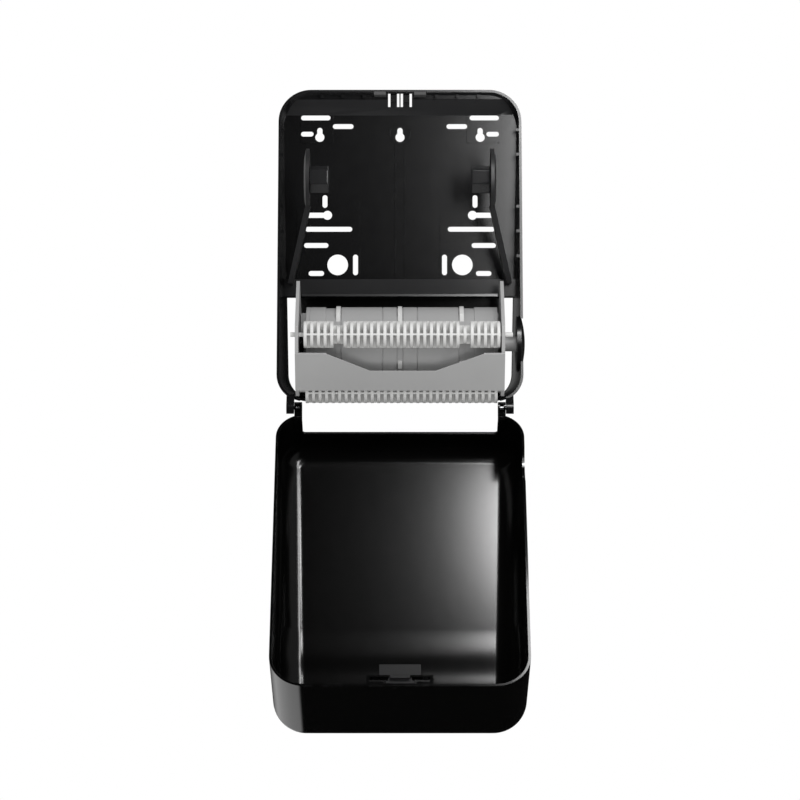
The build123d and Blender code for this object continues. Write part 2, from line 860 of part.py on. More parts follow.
# Feed unit: places of the rollers round the drum
centre_distance = drum_radius + paper_gap + roller_radius
upper_depth = drum_depth + sqrt(centre_distance * centre_distance - upper_roller_rise * upper_roller_rise)
upper_height = drum_height + upper_roller_rise
lower_depth = drum_depth + lower_roller_forward
lower_height = drum_height - sqrt(
    centre_distance * centre_distance - lower_roller_forward * lower_roller_forward
)
bush_radius = shaft_radius + running_fit + bush_wall
flange_front = plate_wall + flange_wall
flange_inner = frame_half - flange_width
foot_reach = bottom_corner - case_wall - side_foot_gap
foot_offset = frame_half - wall_half(case_bottom, side_foot_back) + bottom_corner
side_foot_z = case_bottom + bottom_corner - sqrt(foot_reach * foot_reach - foot_offset * foot_offset)

# Sloping front panel: its rear face is the line on which the side plates end
panel_run = panel_top_depth - panel_foot_depth
panel_drop = panel_top_z - panel_foot_z
panel_length = hypot(panel_run, panel_drop)
back_shift = panel_wall * panel_drop / panel_length
up_shift = panel_wall * panel_run / panel_length
panel_back_top = (panel_top_depth - back_shift, panel_top_z + up_shift)
panel_back_foot = (panel_foot_depth - back_shift, panel_foot_z + up_shift)

for side, name in ((-1, "left_side_plate"), (1, "right_side_plate")):
    with BuildPart() as side_plate:
        plate_right = max(side * frame_inner, side * frame_half)
        with BuildSketch(side_plane(plate_right)):
            polygon(
                (plate_wall, case_bottom + side_back_lift),
                (plate_wall, drum_height + side_back_rise),
                (side_shoulder_depth + lip_reach, drum_height + side_shoulder_rise),
                (side_tip_back, drum_height + side_tip_rise),
                (side_tip_front, drum_height + side_tip_rise),
                (panel_back_top[0], drum_height + side_brow_rise),
                panel_back_top,
                panel_back_foot,
                (side_foot_front, side_foot_z),
                (side_foot_back, side_foot_z),
            )
        extrude(amount=frame_wall)
        flange_right = max(side * flange_inner, side * frame_half)
        with BuildSketch(side_plane(flange_right)):
            polygon(
                (plate_wall, flange_bottom),
                (flange_front, flange_bottom),
                (flange_front, flange_top),
                (plate_wall, flange_top),
            )
        extrude(amount=frame_half - flange_inner)
        with BuildSketch(front_plane(plate_wall - overrun)):
            for height in module_screw_zs:
                with Locations((side * module_screw_x, height)):
                    Circle(screw_radius + screw_fit)
        extrude(amount=flange_wall + overrun + overrun, mode=Mode.SUBTRACT)
        with BuildSketch(side_plane(plate_right + overrun, drum_depth, drum_height)):
            Circle(bush_radius)
        extrude(amount=frame_wall + overrun + overrun, mode=Mode.SUBTRACT)
        for depth, height in ((upper_depth, upper_height), (lower_depth, lower_height)):
            with BuildSketch(side_plane(plate_right + overrun, depth, height)):
                Circle(stub_radius + stub_fit)
            extrude(amount=frame_wall + overrun + overrun, mode=Mode.SUBTRACT)
    finish(side_plate.part, name)

with BuildPart() as module_screws:
    for side in (-1, 1):
        for height in module_screw_zs:
            with BuildSketch(front_plane(flange_front)):
                with Locations((side * module_screw_x, height)):
                    Circle(screw_head)
            extrude(amount=screw_head_wall)
            with BuildSketch(front_plane(plate_wall - screw_bite)):
                with Locations((side * module_screw_x, height)):
                    Circle(screw_radius)
            extrude(amount=flange_front - plate_wall + screw_bite)
finish(module_screws.part, "module_screws")

notch_left = notch_left_inset - frame_half
notch_right = frame_half - notch_right_inset
with BuildPart() as front_panel:
    with BuildSketch(side_plane(frame_half)):
        polygon(
            (panel_top_depth, panel_top_z),
            (panel_foot_depth, panel_foot_z),
            panel_back_foot,
            panel_back_top,
        )
    extrude(amount=frame_half + frame_half)
    for right in (frame_inner, -frame_inner + tab_wall):
        with BuildSketch(side_plane(right)):
            polygon(
                panel_back_top,
                panel_back_foot,
                (panel_back_foot[0] - tab_reach / 2, panel_back_foot[1] + tab_reach),
                (panel_back_top[0] - tab_reach, panel_back_top[1]),
            )
        extrude(amount=tab_wall)
    with BuildSketch(front_plane(panel_foot_depth - panel_wall - panel_wall)):
        polygon(
            (notch_left, panel_top_z + overrun),
            (notch_left, panel_top_z),
            (notch_bottom_left, panel_top_z - notch_height),
            (notch_bottom_right, panel_top_z - notch_height),
            (notch_right, panel_top_z),
            (notch_right, panel_top_z + overrun),
        )
    extrude(amount=panel_run + panel_wall + panel_wall + overrun, mode=Mode.SUBTRACT)
finish(front_panel.part, "front_panel")

# Paper guide: a rail between the side plates with fingers in the drum's grooves
finger_outer = drum_radius - finger_sink
finger_inner = finger_outer - finger_wall
finger_offset = frame_inner - finger_inset
rail_top = drum_height + rail_rise
rail_bottom = rail_top - rail_height
brow_radius = drum_radius + finger_brow_rise
brow_point = (
    brow_radius * cos(radians(finger_brow_angle)),
    brow_radius * sin(radians(finger_brow_angle)),
)
with BuildPart() as paper_guide:
    with BuildSketch(side_plane(frame_inner)):
        polygon(
            (flange_front, rail_bottom),
            (flange_front + rail_wall, rail_bottom),
            (flange_front + rail_wall, rail_top),
            (flange_front, rail_top),
        )
    extrude(amount=frame_inner + frame_inner)
    for middle in (-finger_offset, 0, finger_offset):
        with BuildSketch(side_plane(middle + finger_width / 2, drum_depth, drum_height)):
            foot_span = finger_foot_angle - finger_start_angle
            crown_span = finger_end_angle - finger_crown_angle
            span = finger_end_angle - finger_start_angle
            with BuildLine():
                foot = CenterArc((0, 0), finger_outer, finger_start_angle, foot_span)
                crown = CenterArc((0, 0), drum_radius + finger_rise, finger_crown_angle, crown_span)
                inner = CenterArc((0, 0), finger_inner, finger_start_angle, span)
                Polyline(foot @ 1, brow_point, crown @ 0)
                Line(foot @ 0, inner @ 0)
                Line(crown @ 1, inner @ 1)
            make_face()
            rail_face = flange_front + rail_wall / 2 - drum_depth
            with BuildLine():
                Polyline(
                    inner @ 1,
                    (rail_face, (inner @ 1).Y),
                    (rail_face, (crown @ 1).Y + rail_wall),
                    ((crown @ 1).X, (crown @ 1).Y + rail_wall),
                    crown @ 1,
                    close=True,
                )
            make_face()
        extrude(amount=finger_width)
finish(paper_guide.part, "paper_guide")

# Bushes and knife cam on the side plates
with BuildPart() as left_drum_bush:
    with BuildSketch(side_plane(-frame_inner + cam_wall, drum_depth, drum_height)):
        Circle(bush_radius)
        Circle(shaft_radius + running_fit, mode=Mode.SUBTRACT)
    extrude(amount=frame_wall + cam_wall)
    with BuildSketch(side_plane(-frame_half, drum_depth, drum_height)):
        Circle(bush_radius + bush_flange)
        Circle(shaft_radius + running_fit, mode=Mode.SUBTRACT)
    extrude(amount=bush_flange_wall)
finish(left_drum_bush.part, "left_drum_bush")

with BuildPart() as right_drum_bush:
    with BuildSketch(side_plane(frame_half, drum_depth, drum_height)):
        Circle(bush_radius)
        Circle(shaft_radius + running_fit, mode=Mode.SUBTRACT)
    extrude(amount=frame_wall)
    with BuildSketch(side_plane(frame_inner, drum_depth, drum_height)):
        Circle(bush_radius + bush_flange)
        Circle(shaft_radius + running_fit, mode=Mode.SUBTRACT)
    extrude(amount=bush_flange_wall)
finish(right_drum_bush.part, "right_drum_bush")

with BuildPart() as knife_cam:
    with BuildSketch(side_plane(-frame_inner + cam_wall, drum_depth, drum_height, cam_lobe_angle)):
        Circle(cam_radius)
        with Locations((cam_lobe_offset, 0)):
            Circle(cam_lobe_radius)
        Circle(bush_radius, mode=Mode.SUBTRACT)
    extrude(amount=cam_wall)
finish(knife_cam.part, "knife_cam")

# Drum: two grooved shells on end caps
drum_left = drum_left_inset - frame_inner
drum_right = frame_inner - drum_right_inset
wide_groove_outer = frame_inner - wide_groove_inset
wide_groove_inner = wide_groove_outer - wide_groove_width
shaft_left = -frame_half - shaft_overhang
shell_left = drum_left + cap_wall
shell_right = drum_right - cap_wall
shell_inner = drum_radius - drum_wall
grooves = (
    (-wide_groove_outer, -wide_groove_inner, drum_groove),
    (-seam_x - seam_width / 2, -seam_x + seam_width / 2, seam_groove),
    (-narrow_groove_half, narrow_groove_half, drum_groove),
    (seam_x - seam_width / 2, seam_x + seam_width / 2, seam_groove),
    (wide_groove_inner, wide_groove_outer, drum_groove),
)
outer_line = [(shell_left, drum_radius)]
inner_line = [(shell_left, shell_inner)]
for start, end, depth in grooves:
    bottom = drum_radius - depth
    outer_line += [(start, drum_radius), (start, bottom), (end, bottom), (end, drum_radius)]
    if depth > drum_wall:
        start_in = start - drum_wall
        end_in = end + drum_wall
        bottom_in = bottom - drum_wall
        inner_line += [
            (start_in, shell_inner),
            (start_in, bottom_in),
            (end_in, bottom_in),
            (end_in, shell_inner),
        ]
outer_line.append((shell_right, drum_radius))
inner_line.append((shell_right, shell_inner))
slot_open = knife_angle - degrees(slot_lead / drum_radius)
slot_close = knife_angle + degrees(slot_trail / drum_radius)
drum_axis = Axis((0, -drum_depth, drum_height), (-1, 0, 0))
for name, start, end in (
    ("drum_rear_shell", slot_close, drum_seam_angle),
    ("drum_front_shell", drum_seam_angle, slot_open + 360),
):
    with BuildPart() as drum_shell:
        profile_plane = Plane(
            origin=(0, -drum_depth, drum_height),
            x_dir=(1, 0, 0),
            z_dir=(0, -sin(radians(start)), -cos(radians(start))),
        )
        with BuildSketch(profile_plane):
            polygon(*outer_line, *reversed(inner_line))
        revolve(axis=drum_axis, revolution_arc=end - start)
    finish(drum_shell.part, name)

spigot_radius = shell_inner - screw_fit
for name, disc_right, spigot_right in (
    ("drum_left_cap", shell_left, shell_left + cap_spigot),
    ("drum_right_cap", drum_right, shell_right),
):
    with BuildPart() as drum_cap:
        with BuildSketch(side_plane(disc_right, drum_depth, drum_height)):
            Circle(drum_radius)
        extrude(amount=cap_wall)
        with BuildSketch(side_plane(spigot_right, drum_depth, drum_height)):
            Circle(spigot_radius)
            Circle(spigot_radius - drum_wall, mode=Mode.SUBTRACT)
        extrude(amount=cap_spigot)
        with BuildSketch(side_plane(drum_right + overrun, drum_depth, drum_height)):
            Circle(shaft_radius)
        extrude(amount=drum_right - drum_left + overrun + overrun, mode=Mode.SUBTRACT)
        with BuildSketch(side_plane(drum_right + overrun, drum_depth, drum_height, knife_angle)):
            with Locations((pivot_radial, pivot_lateral)):
                Circle(pivot_radius + running_fit)
        extrude(amount=drum_right - drum_left + overrun + overrun, mode=Mode.SUBTRACT)
    finish(drum_cap.part, name)

knob_seat = knob_inner + knob_edge_wall / 2
with BuildPart() as drum_shaft:
    with BuildSketch(side_plane(knob_seat, drum_depth, drum_height)):
        Circle(shaft_radius)
    extrude(amount=knob_seat - shaft_left)
    with BuildSketch(side_plane(knob_seat, drum_depth, drum_height)):
        Circle(knob_screw_radius)
    extrude(amount=knob_screw_length, mode=Mode.SUBTRACT)
finish(drum_shaft.part, "drum_shaft")

# Knob: grey sleeve, black domed disc and its screw
with BuildPart() as knob_hub:
    with BuildSketch(side_plane(knob_inner, drum_depth, drum_height)):
        Circle(knob_sleeve_radius)
        Circle(shaft_radius, mode=Mode.SUBTRACT)
    extrude(amount=knob_inner - frame_half - body_gap)
finish(knob_hub.part, "knob_hub")

knob_outer = knob_inner + knob_edge_wall
dome_radius = (knob_radius * knob_radius + knob_dome * knob_dome) / (knob_dome + knob_dome)
with BuildPart() as feed_knob:
    with BuildSketch(
        Plane(origin=(0, -drum_depth, drum_height), x_dir=(1, 0, 0), z_dir=(0, -1, 0))
    ):
        with BuildLine():
            Polyline(
                (knob_outer + knob_dome, 0),
                (knob_inner, 0),
                (knob_inner, knob_radius),
                (knob_outer, knob_radius),
            )
            RadiusArc((knob_outer, knob_radius), (knob_outer + knob_dome, 0), dome_radius)
        make_face()
    revolve(axis=drum_axis)
    with BuildSketch(side_plane(knob_seat, drum_depth, drum_height)):
        Circle(shaft_radius)
    extrude(amount=knob_seat - knob_inner, mode=Mode.SUBTRACT)
    with BuildSketch(side_plane(knob_outer + knob_dome, drum_depth, drum_height)):
        Circle(knob_screw_radius + screw_fit)
    extrude(amount=knob_outer + knob_dome - knob_seat, mode=Mode.SUBTRACT)
    with BuildSketch(side_plane(knob_outer + knob_dome, drum_depth, drum_height)):
        Circle(knob_screw_head + screw_fit)
    extrude(amount=knob_dome / 2 + knob_screw_head_wall, mode=Mode.SUBTRACT)
finish(feed_knob.part, "feed_knob")

with BuildPart() as knob_screw:
    screw_seat = knob_outer + knob_dome / 2 - knob_screw_head_wall
    with BuildSketch(side_plane(screw_seat + knob_screw_head_wall, drum_depth, drum_height)):
        Circle(knob_screw_head)
    extrude(amount=knob_screw_head_wall)
    with BuildSketch(side_plane(screw_seat, drum_depth, drum_height)):
        Circle(knob_screw_radius)
    extrude(amount=screw_seat - knob_seat + knob_screw_length - body_gap)
finish(knob_screw.part, "knob_screw")

# Knife: holder on stub pivots in the caps, toothed blade, lever and cam roller
holder_left = shell_left + cap_spigot + body_gap
holder_right = shell_right - cap_spigot - body_gap
lever_right = drum_left - body_gap
with BuildPart() as knife_holder:
    with BuildSketch(side_plane(holder_right, drum_depth, drum_height, knife_angle)):
        with Locations((pivot_radial, pivot_lateral)):
            Circle(pivot_boss)
        polygon(
            (pivot_radial - pivot_boss, pivot_lateral),
            (seat_inner, blade_wall / 2),
            (seat_outer, blade_wall / 2),
            (seat_outer, blade_wall / 2 + seat_wall),
            (pivot_radial + pivot_boss, pivot_lateral),
        )
        polygon(
            (pivot_radial, pivot_lateral - pivot_boss),
            (seat_inner + seat_wall, blade_wall / 2 + seat_wall),
            (seat_outer - seat_wall, blade_wall / 2 + seat_wall),
        )
    extrude(amount=holder_right - holder_left)
    with BuildSketch(side_plane(drum_right - body_gap, drum_depth, drum_height, knife_angle)):
        with Locations((pivot_radial, pivot_lateral)):
            Circle(pivot_radius)
    extrude(amount=drum_right - body_gap - lever_right + lever_wall)
    with BuildSketch(
        *[
            side_plane(place, drum_depth, drum_height, knife_angle)
            for place in (holder_left + overrun, holder_right)
        ]
    ):
        with Locations((pivot_radial, pivot_lateral)):
            Circle(pivot_boss)
    extrude(amount=overrun)
    blade_face = Plane(
        origin=(0, -drum_depth, drum_height),
        x_dir=(1, 0, 0),
        z_dir=(0, -sin(radians(knife_angle)), -cos(radians(knife_angle))),
    )
    with BuildSketch(blade_face):
        for place in (-blade_screw_x, blade_screw_x):
            with Locations((place, blade_screw_radial)):
                Circle(blade_screw_radius)
    extrude(amount=-(blade_wall / 2 + seat_wall), mode=Mode.SUBTRACT)
finish(knife_holder.part, "knife_holder")

blade_zones = (
    (holder_left, -wide_groove_outer - drum_wall),
    (-wide_groove_inner + drum_wall, -narrow_groove_half - drum_wall),
    (narrow_groove_half + drum_wall, wide_groove_inner - drum_wall),
    (wide_groove_outer + drum_wall, holder_right),
)
blade_edge = [(holder_right, blade_root), (holder_left, blade_root)]
for start, end in blade_zones:
    teeth = max(1, round((end - start) / tooth_pitch))
    step = (end - start) / teeth
    blade_edge += [(start, blade_shoulder), (start, blade_tip - tooth_height)]
    for index in range(teeth):
        blade_edge.append((start + (index + 0.5) * step, blade_tip))
        blade_edge.append((start + (index + 1) * step, blade_tip - tooth_height))
    blade_edge.append((end, blade_shoulder))
with BuildPart() as knife_blade:
    with BuildSketch(blade_face):
        polygon(*blade_edge[1:-1], (holder_right, blade_shoulder), blade_edge[0])
        for place in (-blade_screw_x, blade_screw_x):
            with Locations((place, blade_screw_radial)):
                Circle(blade_screw_radius, mode=Mode.SUBTRACT)
    extrude(amount=blade_wall / 2, both=True)
finish(knife_blade.part, "knife_blade")

with BuildPart() as blade_screws:
    for place in (-blade_screw_x, blade_screw_x):
        with BuildSketch(blade_face.offset(blade_wall / 2)):
            with Locations((place, blade_screw_radial)):
                Circle(blade_screw_head)
        extrude(amount=blade_screw_head_wall)
        with BuildSketch(blade_face.offset(blade_wall / 2)):
            with Locations((place, blade_screw_radial)):
                Circle(blade_screw_radius)
        extrude(amount=-(blade_wall + seat_wall - body_gap))
finish(blade_screws.part, "blade_screws")

with BuildPart() as knife_lever:
    with BuildSketch(side_plane(lever_right, drum_depth, drum_height, knife_angle)):
        lever_angle = atan2(pivot_lateral - follower_lateral, pivot_radial - follower_radial)
        with Locations((pivot_radial, pivot_lateral), (follower_radial, follower_lateral)):
            Circle(lever_half)
        across_x = lever_half * sin(lever_angle)
        across_y = lever_half * cos(lever_angle)
        polygon(
            (pivot_radial + across_x, pivot_lateral - across_y),
            (follower_radial + across_x, follower_lateral - across_y),
            (follower_radial - across_x, follower_lateral + across_y),
            (pivot_radial - across_x, pivot_lateral + across_y),
        )
        with Locations((pivot_radial, pivot_lateral)):
            Circle(pivot_radius, mode=Mode.SUBTRACT)
    extrude(amount=lever_wall)
    with BuildSketch(side_plane(lever_right, drum_depth, drum_height, knife_angle)):
        with Locations((follower_radial, follower_lateral)):
            Circle(follower_pin)
    extrude(amount=lever_right + frame_inner - body_gap)
finish(knife_lever.part, "knife_lever")

with BuildPart() as cam_roller:
    roller_right = lever_right - lever_wall - screw_fit
    with BuildSketch(side_plane(roller_right, drum_depth, drum_height, knife_angle)):
        with Locations((follower_radial, follower_lateral)):
            Circle(follower_radius)
            Circle(follower_pin + running_fit, mode=Mode.SUBTRACT)
    extrude(amount=roller_right + frame_inner - body_gap)
finish(cam_roller.part, "cam_roller")


# Pinch rollers: thin discs on crossed webs, with smooth necks and stub axles

def roller_group(depth, height, first, count, turn=0.0):
    """Discs at an even pitch and the crossed webs between them, turned, in the active part."""
    places = [first + index * disc_pitch for index in range(count)]
    with BuildSketch(*[side_plane(place + disc_wall / 2, depth, height) for place in places]) as discs:
        Circle(roller_radius)
    extrude(discs.sketch, amount=disc_wall)
    with BuildSketch(side_plane(places[-1], depth, height, turn)) as webs:
        Rectangle(web_reach + web_reach, web_wall)
        Rectangle(web_wall, web_reach + web_reach)
    extrude(webs.sketch, amount=places[-1] - places[0])


def roller_bar(depth, height, left, right, radius):
    """Plain round length of a roller, in the active part."""
    with BuildSketch(side_plane(right, depth, height)) as bar:
        Circle(radius)
    extrude(bar.sketch, amount=right - left)


left_first = left_disc_inset - frame_inner
left_last = left_first + (end_discs - 1) * disc_pitch
right_last = frame_inner - right_disc_inset
right_first = right_last - (end_discs - 1) * disc_pitch
middle_first = left_last + neck_length
middle_discs = int((right_first - neck_length - middle_first) / disc_pitch) + 1
middle_last = middle_first + (middle_discs - 1) * disc_pitch
lower_first = lower_disc_inset - frame_inner
lower_discs = int(-(lower_first + lower_first) / disc_pitch) + 1
lower_last = lower_first + (lower_discs - 1) * disc_pitch

with BuildPart() as upper_roller:
    roller_group(upper_depth, upper_height, left_first, end_discs)
    roller_group(upper_depth, upper_height, middle_first, middle_discs)
    roller_group(upper_depth, upper_height, right_first, end_discs)
    roller_bar(upper_depth, upper_height, left_last, middle_first, neck_radius)
    roller_bar(upper_depth, upper_height, middle_last, right_first, neck_radius)
    roller_bar(upper_depth, upper_height, -frame_half - left_stub_overhang, left_first, stub_radius)
    roller_bar(upper_depth, upper_height, right_last, frame_half + right_stub_overhang, stub_radius)
finish(upper_roller.part, "upper_roller")

with BuildPart() as lower_roller:
    roller_group(lower_depth, lower_height, lower_first, lower_discs, lower_web_angle)
    roller_bar(lower_depth, lower_height, -frame_half, lower_first, stub_radius)
    roller_bar(lower_depth, lower_height, lower_last, frame_half, stub_radius)
finish(lower_roller.part, "lower_roller")


# Cover: a round-edged box cut off along the parting plane

def cover_block(inset):
    """Solid of the cover's outside, or of its hollow when drawn in by the wall."""
    with BuildPart() as block:
        with BuildSketch(cover_plane(0)):
            tray_outline(cover_bottom, case_top, cover_half, cover_half, inset)
        extrude(amount=cover_depth - inset)
        front = block.faces().sort_by(Axis(hinge_point, open_forward))[-1]
        fillet(front.edges(), radius=cover_edge - inset)
    return block.part


cover_rim = Plane(
    origin=hinge_point,
    x_dir=(1, 0, 0),
    z_dir=(0, -cos(radians(open_angle - tilt)), -sin(radians(open_angle - tilt))),
)
cover_hollow = cover_block(cover_wall)
with BuildPart() as cover_shell:
    add(cover_block(0))
    add(cover_hollow, mode=Mode.SUBTRACT)
    split(bisect_by=cover_rim.offset(cover_rim_gap), keep=Keep.TOP)
    # paper-exit notch in the bottom wall
    with BuildSketch(cover_top_plane(cover_bottom - overrun)):
        with BuildLine():
            FilletPolyline(
                (-cover_ear_inner, 0),
                (-cover_ear_inner, -cover_notch_depth),
                (cover_ear_inner, -cover_notch_depth),
                (cover_ear_inner, 0),
                radius=[0, cover_notch_corner, cover_notch_corner, 0],
                close=True,
            )
        make_face()
    extrude(amount=cover_notch_height, mode=Mode.SUBTRACT)
    # hinge ears on either side of the notch
    for side in (-1, 1):
        with BuildSketch(cover_side_plane(max(side * cover_ear_inner, side * cover_ear_outer))):
            with Locations((hinge_depth, hinge_height)):
                Circle(knuckle_radius)
            polygon(
                (rim_depth(cover_bottom) + cover_rim_gap + rim_rib_setback, cover_bottom + cover_ear_rise),
                (hinge_depth + cover_ear_reach, cover_bottom + cover_ear_rise),
                (hinge_depth + knuckle_side, hinge_height - knuckle_side),
                (hinge_depth - knuckle_side, hinge_height + knuckle_side),
            )
            with Locations((hinge_depth, hinge_height)):
                Circle(hinge_pin_radius + running_fit, mode=Mode.SUBTRACT)
        extrude(amount=cover_ear_outer - cover_ear_inner)
        # slot in the ear, in which the hinge pin shows
        with BuildSketch(front_plane(hinge_depth)):
            with Locations((side * (cover_ear_inner + cover_ear_outer) / 2, hinge_height)):
                Rectangle(ear_slot_width, knuckle_side + knuckle_side)
        extrude(amount=knuckle_radius + overrun, mode=Mode.SUBTRACT)
    # clearance for the knob in the right wall
    with BuildSketch(cover_side_plane(cover_half + overrun)):
        with Locations((drum_depth, drum_height)):
            Circle(knob_radius + knob_clearance)
    extrude(amount=cover_half + overrun - frame_half - frame_wall, mode=Mode.SUBTRACT)
    # slot for the key in the top wall, over the lock
    with BuildSketch(cover_top_plane(case_top + overrun)):
        with Locations((0, -(lock_depth + lock_wall / 2))):
            Rectangle(key_slot_width, key_slot_height)
    extrude(amount=-(cover_wall + cover_wall + overrun), mode=Mode.SUBTRACT)
    with BuildSketch(cover_top_plane(cover_roof - overrun)):
        with Locations((-bracket_screw_x, -bracket_screw_depth), (bracket_screw_x, -bracket_screw_depth)):
            Circle(bracket_screw_radius)
    extrude(amount=overrun + bracket_screw_bite, mode=Mode.SUBTRACT)
finish(cover_shell.part, "cover_shell")

# Lock: a sliding catch in a bracket screwed under the cover's top wall
bracket_front = lock_depth - lock_clearance - keeper_wall
bracket_back = lock_depth + lock_wall + lock_clearance
foot_low = cover_roof - bracket_foot_wall
with BuildPart() as lock_bracket:
    with BuildSketch(cover_plane(bracket_front)):
        for side in (-1, 1):
            polygon(
                (side * (lock_neck_half + lock_clearance), bracket_bar_bottom),
                (side * bracket_half, bracket_bar_bottom),
                (side * bracket_half, foot_low + bracket_foot_wall / 2),
                (side * (bracket_half - bracket_leg), foot_low + bracket_foot_wall / 2),
                (side * (bracket_half - bracket_leg), bracket_bar_top),
                (side * (lock_neck_half + lock_clearance), bracket_bar_top),
            )
    extrude(amount=bracket_back + bracket_back_wall - bracket_front)
    with BuildSketch(cover_plane(bracket_front)):
        for side in (-1, 1):
            polygon(
                (side * (lock_neck_half - keeper_reach), bracket_bar_bottom),
                (side * (lock_block_half + keeper_reach), bracket_bar_bottom),
                (side * (lock_block_half + keeper_reach), bracket_bar_top),
                (side * (lock_neck_half - keeper_reach), bracket_bar_top),
            )
    extrude(amount=keeper_wall)
    with BuildSketch(cover_plane(bracket_back)):
        with Locations((0, (bracket_bar_bottom + bracket_bar_top) / 2)):
            Rectangle(bracket_half + bracket_half, bracket_bar_top - bracket_bar_bottom)
    extrude(amount=bracket_back_wall)
    for right in (bracket_half, -bracket_foot_inner):
        with BuildSketch(cover_side_plane(right)):
            polygon(
                (bracket_front, foot_low),
                (bracket_front, cover_roof),
                (bracket_foot_depth, cover_roof),
                (bracket_foot_depth, foot_low),
            )
        extrude(amount=bracket_half - bracket_foot_inner)
    with BuildSketch(cover_top_plane(foot_low - overrun)):
        with Locations((-bracket_screw_x, -bracket_screw_depth), (bracket_screw_x, -bracket_screw_depth)):
            Circle(bracket_screw_radius + screw_fit)
    extrude(amount=bracket_foot_wall + overrun + overrun, mode=Mode.SUBTRACT)
finish(lock_bracket.part, "lock_bracket")

with BuildPart() as bracket_screws:
    for place in (-bracket_screw_x, bracket_screw_x):
        with BuildSketch(cover_top_plane(foot_low - bracket_screw_head_wall)):
            with Locations((place, -bracket_screw_depth)):
                Circle(bracket_screw_head)
        extrude(amount=bracket_screw_head_wall)
        with BuildSketch(cover_top_plane(foot_low)):
            with Locations((place, -bracket_screw_depth)):
                Circle(bracket_screw_radius)
        extrude(amount=cover_roof - foot_low + bracket_screw_bite - screw_fit)
finish(bracket_screws.part, "bracket_screws")

with BuildPart() as lock_slider:
    with BuildSketch(cover_plane(lock_depth)):
        polygon(
            (-lock_head_half, lock_head_bottom),
            (lock_head_half, lock_head_bottom),
            (lock_head_half, lock_head_top),
            (lock_neck_half, lock_head_top),
            (lock_neck_half, lock_block_bottom),
            (lock_block_half, lock_block_bottom),
            (lock_block_half, lock_block_top),
            (-lock_block_half, lock_block_top),
            (-lock_block_half, lock_block_bottom),
            (-lock_neck_half, lock_block_bottom),
            (-lock_neck_half, lock_head_top),
            (-lock_head_half, lock_head_top),
        )
    extrude(amount=lock_wall)
    with BuildSketch(cover_plane(lock_depth - lock_lip_reach)):
        with Locations((0, lock_block_bottom - lock_lip_setback - lock_lip_height / 2)):
            Rectangle(lock_lip_half + lock_lip_half, lock_lip_height)
    extrude(amount=lock_lip_reach)
finish(lock_slider.part, "lock_slider")
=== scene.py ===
"""Looks of an open roll towel dispenser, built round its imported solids."""

import json
from math import atan2, copysign, cos, degrees, pi, radians, sin

import bmesh
import bpy
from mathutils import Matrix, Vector


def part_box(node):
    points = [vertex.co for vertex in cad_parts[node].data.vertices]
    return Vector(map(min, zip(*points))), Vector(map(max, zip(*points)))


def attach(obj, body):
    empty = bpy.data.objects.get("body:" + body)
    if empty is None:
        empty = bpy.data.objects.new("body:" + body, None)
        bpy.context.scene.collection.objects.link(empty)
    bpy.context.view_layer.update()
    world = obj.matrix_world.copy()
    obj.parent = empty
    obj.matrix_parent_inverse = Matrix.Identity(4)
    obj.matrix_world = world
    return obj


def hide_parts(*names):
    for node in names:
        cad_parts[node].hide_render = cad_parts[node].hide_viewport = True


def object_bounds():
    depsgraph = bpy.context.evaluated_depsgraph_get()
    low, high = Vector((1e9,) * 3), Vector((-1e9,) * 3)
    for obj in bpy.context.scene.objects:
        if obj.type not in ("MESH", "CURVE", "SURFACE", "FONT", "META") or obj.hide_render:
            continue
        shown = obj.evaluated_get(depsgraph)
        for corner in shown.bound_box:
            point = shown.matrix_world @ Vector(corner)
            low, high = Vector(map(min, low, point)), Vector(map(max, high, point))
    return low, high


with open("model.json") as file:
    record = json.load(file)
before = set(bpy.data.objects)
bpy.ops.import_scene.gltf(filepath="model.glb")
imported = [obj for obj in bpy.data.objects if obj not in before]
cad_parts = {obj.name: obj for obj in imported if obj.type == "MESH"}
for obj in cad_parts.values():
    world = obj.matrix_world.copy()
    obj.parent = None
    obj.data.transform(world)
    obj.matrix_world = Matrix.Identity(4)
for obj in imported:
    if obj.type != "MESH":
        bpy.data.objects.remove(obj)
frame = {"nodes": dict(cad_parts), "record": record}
cad_low, cad_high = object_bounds()

bl_info = {
    "name": "Roll Towel Dispenser",
    "version": (1, 0, 0),
    "blender": (4, 5, 0),
    "location": "View3D > Sidebar > Dispenser",
    "description": "Finishes the moulded, steel and rubber pieces of an open roll towel dispenser",
    "category": "Object",
}

MM = 0.001


# Sizes and colours a user may change

def length_property(label, value, words):
    return bpy.props.FloatProperty(
        name=label, description=words, default=value, subtype="DISTANCE", unit="LENGTH")


